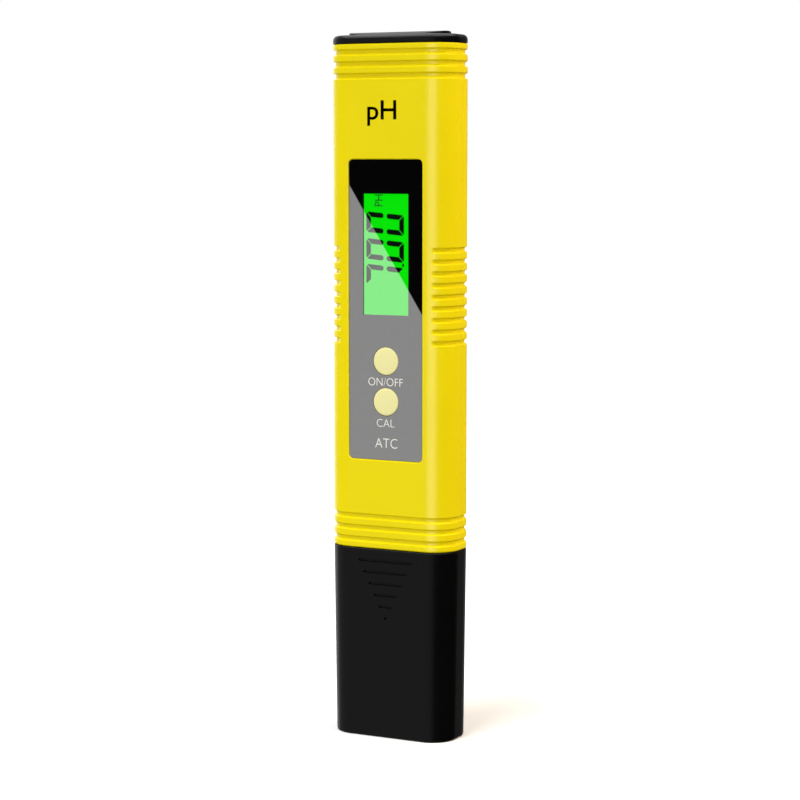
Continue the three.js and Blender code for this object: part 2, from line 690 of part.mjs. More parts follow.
function batteryWell() {
  const inner = WELL_HALF_WIDTH - WELL_WALL;
  const room = [2 * inner, WELL_DEPTH, WELL_CORNER - WELL_WALL];
  const bottom = WELL_FLOOR_TOP - WELL_FLOOR;
  const outside = prism(roundedRect(...inset(room, -WELL_WALL)), bottom, WELL_TOP);
  const tailSlots = [-1, 1].map((side) => block(
    side < 0 ? [-inner, -CONTACT_SLOT_START] : [CONTACT_SLOT_START, inner],
    [-CONTACT_SLOT_WIDTH / 2, CONTACT_SLOT_WIDTH / 2],
    [bottom - BEYOND, WELL_FLOOR_TOP + BEYOND],
  ));
  return cutAll(outside, [prism(roundedRect(...room), WELL_FLOOR_TOP, WELL_TOP + BEYOND), ...tailSlots]);
}

// A leaf that stands in the well and bulges towards the row of cells; side is -1 or 1.
function cellContact(side) {
  const points = CONTACT_LINE.map(([x, z]) => [side * x, CELL_Z + z]);
  return bentStrip(points, CONTACT_THICK, CONTACT_WIDTH);
}

// Button cell about the Z axis, turned on its side where it is placed.
function buttonCell() {
  const half = CELL_THICK / 2;
  return turned([
    [0, -half],
    [CELL_RADIUS - CELL_EDGE, -half],
    [CELL_RADIUS, -half + CELL_EDGE],
    [CELL_RADIUS, half - CELL_RIM],
    [CELL_CAP_RADIUS + CELL_GAP, half - CELL_CAP_STEP],
    [CELL_CAP_RADIUS, half],
    [0, half],
  ]);
}

// ---------------------------------------------------------------- electrode and its holder

const RING_SEAL_LEVELS = [RING_SEAL_Z - RING_SEAL_HEIGHT / 2, RING_SEAL_Z + RING_SEAL_HEIGHT / 2];

function electrodeHolder() {
  const spigot = prism(roundedRect(...SPIGOT_SECTION), SPIGOT_BOTTOM, HOLDER_TOP);
  const bore = uprightBar(HOLDER_BORE, 0, 0, SPIGOT_BOTTOM - BEYOND, HOLDER_TOP + BEYOND);
  return cutAll(spigot, [sealGroove(SPIGOT_SECTION, ...RING_SEAL_LEVELS), bore]);
}

function holderSeal() {
  return sealRing(SPIGOT_SECTION, ...RING_SEAL_LEVELS, RING_SEAL_PROUD);
}

// A gap right across the sleeve's open end, along X or along Y.
function prongGap(alongX) {
  const long = [-SLEEVE_RADIUS - BEYOND, SLEEVE_RADIUS + BEYOND];
  const short = [-PRONG_GAP / 2, PRONG_GAP / 2];
  const heights = [SLEEVE_TIP - BEYOND, PRONG_ROOT];
  return alongX ? block(long, short, heights) : block(short, long, heights);
}

// Clear tube that holds the reference gel, with four prongs that guard the bulb.
function electrodeSleeve() {
  const inner = SLEEVE_RADIUS - SLEEVE_WALL;
  const tube = turned([
    [0, SLEEVE_TIP],
    [SLEEVE_RADIUS - SLEEVE_TIP_EDGE, SLEEVE_TIP],
    [SLEEVE_RADIUS, SLEEVE_TIP + SLEEVE_TIP_EDGE],
    [SLEEVE_RADIUS, SLEEVE_TOP],
    [0, SLEEVE_TOP],
  ]);
  return cutAll(tube, [
    uprightBar(inner, 0, 0, SLEEVE_FLOOR_TOP, SLEEVE_TOP + BEYOND),
    uprightBar(inner, 0, 0, SLEEVE_TIP - BEYOND, SLEEVE_FLOOR_BOTTOM),
    uprightBar(GLASS_BORE_RADIUS, 0, 0, SLEEVE_TIP, SLEEVE_TOP),
    uprightBar(PROBE_BORE_RADIUS, -SIDE_BORE_X, 0, SLEEVE_TIP, SLEEVE_TOP, SMALL_STEPS),
    uprightBar(PROBE_RADIUS, SIDE_BORE_X, 0, SLEEVE_TIP, SLEEVE_TOP, SMALL_STEPS),
    prongGap(true),
    prongGap(false),
  ]);
}

// Glass tube with a thin bulb at its lower end, open at the top.
function glassElectrode() {
  const outer = [];
  const inner = [];
  const neckAngle = Math.asin(BULB_NECK_RADIUS / BULB_RADIUS);
  const steps = 6;
  for (let i = 0; i <= steps; i += 1) {
    const angle = ((Math.PI - neckAngle) * i) / steps;
    const reach = [Math.sin(angle), -Math.cos(angle)];
    outer.push([BULB_RADIUS * reach[0], BULB_Z + BULB_RADIUS * reach[1]]);
    inner.push([(BULB_RADIUS - GLASS_WALL) * reach[0], BULB_Z + (BULB_RADIUS - GLASS_WALL) * reach[1]]);
  }
  return turned([
    ...outer,
    [GLASS_RADIUS, TUBE_START],
    [GLASS_RADIUS, GLASS_TOP],
    [GLASS_RADIUS - GLASS_WALL, GLASS_TOP],
    [GLASS_RADIUS - GLASS_WALL, TUBE_START],
    ...inner.reverse(),
  ]);
}

// Steel tube with a round end.
function temperatureProbe() {
  const points = [];
  for (let i = 0; i <= 4; i += 1) {
    const angle = (Math.PI / 2) * (i / 4);
    points.push([PROBE_RADIUS * Math.sin(angle), PROBE_TIP + PROBE_RADIUS * (1 - Math.cos(angle))]);
  }
  return turned([...points, [PROBE_RADIUS, GLASS_TOP], [0, GLASS_TOP]], SMALL_STEPS);
}

function electrodePlug() {
  const body = uprightBar(PLUG_RADIUS, 0, 0, PLUG_BOTTOM, PLUG_TOP);
  const low = PLUG_BOTTOM - BEYOND;
  const high = PLUG_TOP + BEYOND;
  const leadBores = [-SIDE_BORE_X, 0, SIDE_BORE_X].map((x) => (
    uprightBar(LEAD_BORE_RADIUS, x, 0, low, high, SMALL_STEPS)
  ));
  return cutAll(body, [
    uprightBar(GLASS_BORE_RADIUS, 0, 0, low, PLUG_SOCKET_TOP),
    uprightBar(PROBE_BORE_RADIUS, -SIDE_BORE_X, 0, low, PLUG_SOCKET_TOP, SMALL_STEPS),
    ...leadBores,
  ]);
}

// A lead from the plug up to the back of the board, starting at x and landing at xBoard.
function electrodeLead(x, xBoard) {
  return wire([
    [x, 0, PLUG_TOP - 3],
    [x, 0, PLUG_TOP + 1],
    [(x + xBoard) / 2, 2.6, PLUG_TOP + 4.5],
    [xBoard, 2.2, BOARD_BOTTOM + 4],
    [xBoard, BOARD_BACK + 0.8, BOARD_BOTTOM + 8],
  ], LEAD_RADIUS);
}

// ---------------------------------------------------------------- storage cap

// The cap's tapered section at height z, drawn in by an amount.
function capSection(z, amount = 0) {
  const section = CAP_FOOT_SECTION.map((foot, i) => foot + ((CAP_TOP_SECTION[i] - foot) * z) / CAP_TOP);
  return inset(section, amount);
}

function storageCap() {
  const outside = taperedPrism(CAP_FOOT_SECTION, CAP_TOP_SECTION, 0, CAP_TOP);
  const mouth = CAP_TOP + BEYOND;
  const hollow = taperedPrism(
    capSection(CAP_FLOOR, CAP_WALL),
    capSection(mouth, CAP_WALL),
    CAP_FLOOR,
    mouth,
  );
  const bars = [];
  for (let i = 0; i < GRIP_BARS; i += 1) {
    const half = GRIP_HALF_WIDTH - i * GRIP_NARROWING;
    const z = GRIP_TOP - i * GRIP_PITCH;
    const face = -capSection(z)[1] / 2;
    const depth = [face - BEYOND, face + GRIP_DEPTH];
    bars.push(block([-half, half], depth, [z - GRIP_HEIGHT / 2, z + GRIP_HEIGHT / 2]));
  }
  return cutAll(outside, [hollow, ...bars]);
}

function capSponge() {
  const section = inset(CAP_FOOT_SECTION, CAP_WALL + SPONGE_SIDE_GAP);
  return prism(roundedRect(...section), SPONGE_BOTTOM, SPONGE_BOTTOM + SPONGE_HEIGHT);
}

// ---------------------------------------------------------------- assembly

const meter = new THREE.Group();

function addPiece(parent, name, shape, material, place = [0, 0, 0]) {
  const mesh = new THREE.Mesh(toGeometry(shape), material);
  mesh.name = name;
  mesh.position.set(...place);
  parent.add(mesh);
  return mesh;
}

function addCase(parent) {
  const tube = shellTube();
  addPiece(parent, 'front_shell', frontShell(tube), MATERIALS.yellow);
  addPiece(parent, 'rear_shell', rearShell(tube), MATERIALS.yellow);
  addPiece(parent, 'top_bezel', topBezel(), MATERIALS.black);
  addPiece(parent, 'display_panel', displayPanel(), MATERIALS.panel);
  addPiece(parent, 'window_lens', windowLens(), MATERIALS.clear);
  addPiece(parent, 'button_gasket', buttonGasket(), MATERIALS.rubber);
}

function addDisplay(parent) {
  addPiece(parent, 'lcd_glass', lcdGlass(), MATERIALS.lcd);
  addPiece(parent, 'lcd_frame', lcdFrame(), MATERIALS.white);
  addPiece(parent, 'light_guide', lightGuide(), MATERIALS.diffuser);
  addPiece(parent, 'zebra_strip', zebraStrip(), MATERIALS.rubber);
  const lampY = BOARD_FRONT - SOLDER_GAP - LED_SIZE[1] / 2;
  const lampZ = GUIDE_TOP + LED_GAP + LED_SIZE[2] / 2;
  [-1, 1].forEach((side, i) => {
    const place = [WINDOW_X + (side * LED_SPACING) / 2, lampY, lampZ];
    addPiece(parent, `backlight_led_${i + 1}`, centredBlock(LED_SIZE), MATERIALS.white, place);
  });
}

function addBoard(parent) {
  addPiece(parent, 'circuit_board', circuitBoard(), MATERIALS.board);
  screwPlaces().forEach(([x, z], i) => {
    const place = [x, BOARD_BACK + 0.1, z];
    addPiece(parent, `board_screw_${i + 1}`, boardScrew(), MATERIALS.steel, place);
  });
  const chips = [
    ['controller_chip', CHIP_SIZE, 0, CHIP_Z, MATERIALS.chip],
    ['amplifier_chip', AMPLIFIER_SIZE, 0, AMPLIFIER_Z, MATERIALS.chip],
    ['clock_crystal', CRYSTAL_SIZE, CRYSTAL_X, CRYSTAL_Z, MATERIALS.steel],
  ];
  chips.forEach(([name, size, x, z, material]) => {
    const place = [x, BOARD_BACK + SOLDER_GAP + size[1] / 2, z];
    addPiece(parent, name, centredBlock(size), material, place);
  });
}

// One button, with the plunger that it presses; the switch's body stays on the board.
function addButton(parent, name, z) {
  const key = new THREE.Group();
  key.position.set(BUTTON_X, 0, z);
  parent.add(key);
  addPiece(key, `${name}_button`, buttonCap(), MATERIALS.button);
  addPiece(key, `${name}_switch_plunger`, switchPlunger(), MATERIALS.black);
  addPiece(key, `${name}_switch_body`, switchBody(), MATERIALS.steel);
}

function addDrawer(parent) {
  const drawer = new THREE.Group();
  parent.add(drawer);
  addPiece(drawer, 'battery_drawer', batteryDrawer(), MATERIALS.black);
  addPiece(drawer, 'battery_seal', batterySeal(), MATERIALS.rubber);
  for (let i = 0; i < CELL_COUNT; i += 1) {
    const x = (i - (CELL_COUNT - 1) / 2) * CELL_PITCH;
    const cell = addPiece(drawer, `cell_${i + 1}`, buttonCell(), MATERIALS.steel, [x, 0, CELL_Z]);
    cell.rotation.y = Math.PI / 2;
  }
  addPiece(parent, 'battery_well', batteryWell(), MATERIALS.black);
  addPiece(parent, 'contact_left', cellContact(-1), MATERIALS.bronze);
  addPiece(parent, 'contact_right', cellContact(1), MATERIALS.bronze);
}

function addElectrode(parent) {
  addPiece(parent, 'electrode_holder', electrodeHolder(), MATERIALS.black);
  addPiece(parent, 'holder_seal', holderSeal(), MATERIALS.rubber);
  addPiece(parent, 'electrode_sleeve', electrodeSleeve(), MATERIALS.clear);
  addPiece(parent, 'electrode_plug', electrodePlug(), MATERIALS.resin);
  addPiece(parent, 'glass_electrode', glassElectrode(), MATERIALS.glass);
  addPiece(parent, 'temperature_probe', temperatureProbe(), MATERIALS.steel, [-SIDE_BORE_X, 0, 0]);
  const junction = uprightBar(JUNCTION_RADIUS, SIDE_BORE_X, 0, JUNCTION_BOTTOM, JUNCTION_TOP, SMALL_STEPS);
  addPiece(parent, 'reference_junction', junction, MATERIALS.white);
  const inner = uprightBar(WIRE_RADIUS, 0, 0, BULB_Z, WIRE_TOP, WIRE_STEPS);
  addPiece(parent, 'inner_electrode', inner, MATERIALS.silver);
  const reference = uprightBar(WIRE_RADIUS, SIDE_BORE_X, 0, REFERENCE_WIRE_BOTTOM, WIRE_TOP, WIRE_STEPS);
  addPiece(parent, 'reference_electrode', reference, MATERIALS.silver);
  addPiece(parent, 'electrode_lead', electrodeLead(0, 0), MATERIALS.white);
  addPiece(parent, 'reference_lead', electrodeLead(SIDE_BORE_X, LEAD_BOARD_X), MATERIALS.rubber);
  addPiece(parent, 'thermistor_lead', electrodeLead(-SIDE_BORE_X, -LEAD_BOARD_X), MATERIALS.red);
}

function addCap(parent) {
  const cap = new THREE.Group();
  parent.add(cap);
  addPiece(cap, 'storage_cap', storageCap(), MATERIALS.black);
  addPiece(cap, 'cap_sponge', capSponge(), MATERIALS.sponge);
}

addCase(meter);
addDisplay(meter);
addBoard(meter);
addButton(meter, 'power', POWER_Z);
addButton(meter, 'calibrate', CALIBRATE_Z);
addDrawer(meter);
addElectrode(meter);
addCap(meter);

export default meter;
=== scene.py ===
"""Looks of the pocket pH meter: fine shells, cap, display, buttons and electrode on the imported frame."""
import math

import bmesh
import bpy
from mathutils import Matrix, Vector


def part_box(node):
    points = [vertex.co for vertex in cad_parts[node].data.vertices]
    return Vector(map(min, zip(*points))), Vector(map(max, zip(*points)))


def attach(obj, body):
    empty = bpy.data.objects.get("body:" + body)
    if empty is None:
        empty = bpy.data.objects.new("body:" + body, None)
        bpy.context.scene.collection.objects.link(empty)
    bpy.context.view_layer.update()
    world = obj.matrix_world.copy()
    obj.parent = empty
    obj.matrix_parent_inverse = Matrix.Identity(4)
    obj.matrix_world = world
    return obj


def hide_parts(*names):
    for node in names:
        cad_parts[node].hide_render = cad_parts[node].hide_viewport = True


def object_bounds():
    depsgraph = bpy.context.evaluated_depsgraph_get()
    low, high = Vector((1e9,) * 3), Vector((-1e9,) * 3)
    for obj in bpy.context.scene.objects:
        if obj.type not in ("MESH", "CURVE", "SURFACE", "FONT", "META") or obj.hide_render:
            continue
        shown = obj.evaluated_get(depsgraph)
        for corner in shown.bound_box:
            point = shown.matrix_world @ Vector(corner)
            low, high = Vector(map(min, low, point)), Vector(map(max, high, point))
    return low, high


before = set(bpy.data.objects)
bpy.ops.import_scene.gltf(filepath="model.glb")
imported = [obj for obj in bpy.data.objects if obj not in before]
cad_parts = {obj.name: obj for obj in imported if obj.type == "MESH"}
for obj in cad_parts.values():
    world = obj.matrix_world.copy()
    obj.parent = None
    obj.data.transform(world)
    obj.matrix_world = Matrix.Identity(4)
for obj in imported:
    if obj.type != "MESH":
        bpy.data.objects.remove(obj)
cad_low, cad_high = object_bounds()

# ---------------- sizes, in metres

MM = 0.001
BODY_CORNER = 7.3 * MM
WALL = 1.8 * MM
SEAM = 0.04 * MM
EDGE_ROUND = 0.45 * MM
ARC_STEPS = 20
SMOOTH_ANGLE = 32
BEYOND = 1.0 * MM  # how far a cutting tool reaches past the face that it cuts
ROOT_DEPTH = 0.3 * MM  # how far bosses and ribs reach into the wall that they stand on
LEVEL_DIGITS = 8  # decimals that the heights of the shell's levels are rounded to

GROOVE_DEPTH = 0.65 * MM
GROOVE_FLAT = 0.4 * MM
GROOVE_SLOPE = 0.5 * MM
GROOVE_PITCH = 3.1 * MM
RING_COUNT = 3
TOP_RING = 182.35 * MM
LOW_RING = 59.8 * MM
LOW_RING_DEPTH = 0.5 * MM
LOW_RING_FLAT = 0.35 * MM
SIDE_GROOVE_COUNT = 9
SIDE_GROOVE_FLAT = 0.3 * MM
SIDE_GROOVE_TOP = 130.9 * MM
SIDE_GROOVE_PITCH = 3.04 * MM
SIDE_FADE_START = 13.5 * MM
SIDE_FADE_END = 14.9 * MM

RECESS_DEPTH = 1.15 * MM
RECESS_GAP = 0.25 * MM
RECESS_LIP = 0.3 * MM
PANEL_CORNER = 1.0 * MM
PANEL_GROWTH = 0.19 * MM  # the panel's foil fills its recess but for a hair
BUTTON_RADIUS = 3.68 * MM
BUTTON_HOLE_RADIUS = 3.78 * MM
BOSS_RADIUS = 2.1 * MM
BOSS_HOLE_RADIUS = 1.1 * MM
RIB_HEIGHTS = (108 * MM, 152 * MM)
RIB_HALF_WIDTH = 6 * MM
RIB_THICK = 1.2 * MM

# Ends of the diagonal edge of a painted reflection, which paints the panel, the display and its segments
# lighter below and left of it.
PAINTED_REFLECTION_TOP = Vector((-10.5, 147.4)) * MM
PAINTED_REFLECTION_BOTTOM = Vector((10.7, 114.1)) * MM
DISPLAY_SHIFT = -0.53 * MM  # the painted reflection's diagonal edge lies further left on the display, because the display lies deeper

CAP_TOP_SECTION = tuple(value * MM for value in (36.4, 17.4, 7.1))
CAP_FOOT_SECTION = tuple(value * MM for value in (35.0, 16.9, 6.7))
CAP_WALL = 1.6 * MM
CAP_FLOOR = 2.2 * MM
CAP_FOOT_ROUND = 0.7 * MM
CAP_LIP_ROUND = 0.3 * MM
SPONGE_ROUND = 0.8 * MM
GRIP_SLOTS = 6
GRIP_TOP = 48.0 * MM
GRIP_PITCH = 3.07 * MM
GRIP_HALF_WIDTH = 8.0 * MM
GRIP_NARROWING = 1.5 * MM
GRIP_HEIGHT = 0.7 * MM
GRIP_DEPTH = 0.45 * MM
GRIP_SLOPE = 0.15 * MM


# ---------------- meshes

def add_object(name, mesh):
    """Links a mesh to the scene, smooth but for its sharp edges."""
    mesh.set_sharp_from_angle(angle=math.radians(SMOOTH_ANGLE))
    for polygon in mesh.polygons:
        polygon.use_smooth = True
    piece = bpy.data.objects.new(name, mesh)
    bpy.context.scene.collection.objects.link(piece)
    return piece


def turn_outwards(mesh, merge=None):
    """Points all faces outwards, and first joins the points that lie closer than the merge distance."""
    work = bmesh.new()
    work.from_mesh(mesh)
    if merge:
        bmesh.ops.remove_doubles(work, verts=work.verts, dist=merge)
    bmesh.ops.recalc_face_normals(work, faces=work.faces)
    work.to_mesh(mesh)
    work.free()


def mesh_from(name, points, faces):
    mesh = bpy.data.meshes.new(name)
    mesh.from_pydata([tuple(point) for point in points], [], faces)
    turn_outwards(mesh)
    mesh.validate()
    return mesh


def outline(width, depth, radius, arc_steps=ARC_STEPS):
    """Points and outward normals of a rectangle with round corners, anticlockwise from the right."""
    points = []
    for corner in range(4):
        centre = Vector((
            (width / 2 - radius) * (1 if corner in (0, 3) else -1),
            (depth / 2 - radius) * (1 if corner in (0, 1) else -1),
        ))
        for step in range(arc_steps + 1):
            angle = math.radians(90 * (corner + step / arc_steps))
            normal = Vector((math.cos(angle), math.sin(angle)))
            points.append((centre + radius * normal, normal))
    return points


def inset(section, amount):
    width, depth, radius = section
    return width - 2 * amount, depth - 2 * amount, radius - amount


def level(section, z, arc_steps=ARC_STEPS):
    """A level loop: the section's outline at height z."""
    return [Vector((point.x, point.y, z)) for point, _ in outline(*section, arc_steps)]


def facing(section, y, centre, arc_steps=6):
    """A loop that faces the front: the outline in X and Z about centre, at depth y."""
    return [
        Vector((centre[0] + point.x, y, centre[1] + point.y))
        for point, _ in outline(*section, arc_steps)
    ]


def loft_mesh(name, loops, ring=False):
    """Skin over loops of equal length. A ring closes on its first loop; otherwise both ends are capped."""
    count = len(loops[0])
    points = [point for loop in loops for point in loop]
    faces = []
    last = len(loops) if ring else len(loops) - 1
    for i in range(last):
        low = i * count
        high = ((i + 1) % len(loops)) * count
        for j in range(count):
            k = (j + 1) % count
            faces.append((low + j, low + k, high + k, high + j))
    if not ring:
        faces.append(tuple(range(count)))
        faces.append(tuple(range((len(loops) - 1) * count, len(loops) * count)))
    return mesh_from(name, points, faces)


def loft(name, loops, ring=False):
    return add_object(name, loft_mesh(name, loops, ring))


def lathe_loops(profile, steps, place):
    """Loops of a turned shape from (radius, height) points; place moves a point into the frame."""
    loops = []
    for radius, height in profile:
        loops.append([
            place @ Vector((
                radius * math.cos(2 * math.pi * step / steps),
                radius * math.sin(2 * math.pi * step / steps),
                height,
            ))
            for step in range(steps)
        ])
    return loops


def turned(name, profile, place=Matrix.Identity(4), steps=48, ring=False):
    return loft(name, lathe_loops(profile, steps, place), ring)


def arc(centre, radius, start, end, steps):
    """Points of an arc in a profile, with angles in degrees."""
    angles = [math.radians(start + (end - start) * i / steps) for i in range(steps + 1)]
    return [(centre[0] + radius * math.cos(a), centre[1] + radius * math.sin(a)) for a in angles]


def round_edge(radius, steps):
    """Pairs along a round edge, from (0, radius) to (radius, 0)."""
    angles = [math.radians(90 * i / steps) for i in range(steps + 1)]
    return [(radius * (1 - math.cos(a)), radius * (1 - math.sin(a))) for a in angles]


def carve(piece, tools, operation="DIFFERENCE"):
    """Cuts or joins the tools with the piece, then removes them."""
    for tool in tools:
        change = piece.modifiers.new("carve", "BOOLEAN")
        change.operation = operation
        change.solver = "EXACT"
        change.object = tool
        result = bpy.data.meshes.new_from_object(
            piece.evaluated_get(bpy.context.evaluated_depsgraph_get())
        )
        piece.modifiers.clear()
        piece.data = result
        bpy.data.objects.remove(tool)
    piece.data.set_sharp_from_angle(angle=math.radians(SMOOTH_ANGLE))
    return piece


def settle_shading(piece):
    """Keeps flat faces evenly lit up to their edges."""
    weigh = piece.modifiers.new("flat_faces_first", "WEIGHTED_NORMAL")
    weigh.mode = "FACE_AREA"
    weigh.keep_sharp = True
    return piece


def block(name, low, high):
    """A box between two corners, used as a cutting tool or joined to a piece."""
    corners = [
        Vector((x, y, z))
        for z in (low[2], high[2])
        for y in (low[1], high[1])
        for x in (low[0], high[0])
    ]
    faces = [(0, 2, 3, 1), (4, 5, 7, 6), (0, 1, 5, 4), (2, 6, 7, 3), (0, 4, 6, 2), (1, 3, 7, 5)]
    return add_object(name, mesh_from(name, corners, faces))


def level_bar(name, radius, x, z, front, back, steps=48):
    """A round bar along Y."""
    turn = Matrix.Translation((x, 0, z)) @ Matrix.Rotation(math.radians(-90), 4, "X")
    return turned(name, [(radius, front), (radius, back)], turn, steps)


def upright_bar(name, radius, x, y, low, high, steps=48):
    place = Matrix.Translation((x, y, 0))
    return turned(name, [(radius, low), (radius, high)], place, steps)


def finish_piece(piece, body, look, replaced=()):
    """Gives a piece its material, hangs it from the empty of the body that it rides on, and hides the frame's
    parts that it stands for.
    """
    piece.data.materials.clear()
    piece.data.materials.append(MATERIALS[look])
    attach(piece, body)
    if replaced:
        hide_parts(*replaced)
    return piece


# ---------------- materials

def new_material(name):
    """A node material, with its node tree and its shader."""
    material = bpy.data.materials.new(name)
    material.use_nodes = True
    tree = material.node_tree
    return material, tree, tree.nodes["Principled BSDF"]


def set_inputs(node, **values):
    for socket, value in values.items():
        node.inputs[socket.replace("_", " ")].default_value = value


def add_node(tree, kind, **values):
    node = tree.nodes.new("ShaderNode" + kind)
    set_inputs(node, **values)
    return node


def object_place(tree):
    return add_node(tree, "TexCoord").outputs["Object"]


def noise(tree, scale, detail=3.0, stretch=(1, 1, 1)):
    """Noise in object coordinates, with scale in features per millimetre."""
    place = object_place(tree)
    mapping = add_node(tree, "Mapping", Scale=[scale / MM * part for part in stretch])
    texture = add_node(tree, "TexNoise", Scale=1.0, Detail=detail)
    tree.links.new(place, mapping.inputs["Vector"])
    tree.links.new(mapping.outputs["Vector"], texture.inputs["Vector"])
    return texture.outputs["Fac"]


def ramp(tree, source, stops):
    """Maps a value to a colour through (position, colour) stops."""
    node = add_node(tree, "ValToRGB")
    tree.links.new(source, node.inputs["Fac"])
    while len(node.color_ramp.elements) < len(stops):
        node.color_ramp.elements.new(0.5)
    for element, (position, colour) in zip(node.color_ramp.elements, stops):
        element.position = position
        element.color = (*colour, 1)
    return node.outputs["Color"]


def spread(tree, source, low, high):
    """Maps the middle of a noise to a range of values."""
    node = add_node(tree, "MapRange", From_Min=0.3, From_Max=0.7, To_Min=low, To_Max=high)
    tree.links.new(source, node.inputs["Value"])
    return node.outputs["Result"]


def bump(tree, shader, source, height, strength=1.0):
    node = add_node(tree, "Bump", Distance=height, Strength=strength)
    tree.links.new(source, node.inputs["Height"])
    tree.links.new(node.outputs["Normal"], shader.inputs["Normal"])


def shades(colour, change):
    """The colour a little darker and a little lighter."""
    return [tuple(min(1.0, part * factor) for part in colour) for factor in (1 - change, 1 + change)]


def tint(tree, shader, source, colour, change):
    """Lets the source draw the base colour a little darker and lighter."""
    dark, light = shades(colour, change)
    tree.links.new(ramp(tree, source, [(0.3, dark), (0.7, light)]), shader.inputs["Base Color"])


def moulded(name, colour, roughness, grain=2.2, depth=0.006, change=0.04, specular=0.5, **extra):
    """Moulded plastic or rubber: slow colour drift, spark eroded grain and uneven gloss."""
    material, tree, shader = new_material(name)
    tint(tree, shader, noise(tree, 0.05, 2.0), colour, change)
    gloss = noise(tree, 0.35, 4.0)
    tree.links.new(spread(tree, gloss, roughness * 0.9, roughness * 1.12), shader.inputs["Roughness"])
    bump(tree, shader, noise(tree, grain, 3.0), depth * MM)
    set_inputs(shader, Specular_IOR_Level=specular, **extra)
    return material


def metal(name, colour, roughness, stretch=(1, 1, 1), grain=3.0, depth=0.002):
    """Bare or plated metal with drawn or blasted grain and slight tarnish."""
    material, tree, shader = new_material(name)
    tint(tree, shader, noise(tree, 0.4, 4.0), colour, 0.12)
    lines = noise(tree, grain, 3.0, stretch)
    tree.links.new(spread(tree, lines, roughness * 0.8, roughness * 1.3), shader.inputs["Roughness"])
    bump(tree, shader, lines, depth * MM)
    set_inputs(shader, Metallic=1.0)
    return material


def clear(name, colour, alpha, roughness=0.04, specular=0.5):
    """Clear plastic or glass: mostly see through, with faint flow lines in its gloss."""
    material, tree, shader = new_material(name)
    tint(tree, shader, noise(tree, 0.2, 2.0), colour, 0.05)
    bump(tree, shader, noise(tree, 0.15, 1.0), 0.004 * MM)
    set_inputs(shader, Roughness=roughness, Alpha=alpha, Specular_IOR_Level=specular)
    return material


def painted_reflection_mask(tree, shift, softness=0.12 * MM):
    """1 below and left of the diagonal edge of the painted reflection, 0 above and right of it; shift moves
    it along X.
    """
    along = (PAINTED_REFLECTION_BOTTOM - PAINTED_REFLECTION_TOP).normalized()
    across = Vector((along.y, -along.x))
    place = object_place(tree)
    dot = add_node(tree, "VectorMath")
    dot.operation = "DOT_PRODUCT"
    dot.inputs[1].default_value = (across.x, 0, across.y)
    tree.links.new(place, dot.inputs[0])
    line = across.dot(PAINTED_REFLECTION_TOP + Vector((shift, 0)))
    edge = add_node(tree, "MapRange", From_Min=line - softness, From_Max=line + softness)
    tree.links.new(dot.outputs["Value"], edge.inputs["Value"])
    return edge.outputs["Result"]


def with_painted_reflection(name, upper, lower, roughness, shift=0.0, glow=0.0):
    """A surface in two tones that meet on the panel's diagonal: its own tone above and right of the diagonal,
    and below and left of it a lighter tone that is a painted reflection; glow lights it from behind.
    """
    material, tree, shader = new_material(name)
    mask = painted_reflection_mask(tree, shift)
    speck = noise(tree, 4.0, 2.0)
    tones = []
    for tone in (upper, lower):
        dark, light = shades(tone, 0.04)
        tones.append(ramp(tree, speck, [(0.35, dark), (0.65, light)]))
    mix = add_node(tree, "Mix")
    mix.data_type = "RGBA"
    tree.links.new(mask, mix.inputs["Factor"])
    tree.links.new(tones[0], mix.inputs["A"])
    tree.links.new(tones[1], mix.inputs["B"])
    target = "Emission Color" if glow else "Base Color"
    tree.links.new(mix.outputs["Result"], shader.inputs[target])
    gloss = noise(tree, 0.3, 3.0)
    tree.links.new(spread(tree, gloss, roughness * 0.85, roughness * 1.2), shader.inputs["Roughness"])
    bump(tree, shader, speck, 0.001 * MM)
    set_inputs(shader, Specular_IOR_Level=0.05)
    if glow:
        set_inputs(shader, Base_Color=(0.001, 0.004, 0.001, 1), Emission_Strength=glow)
    return material


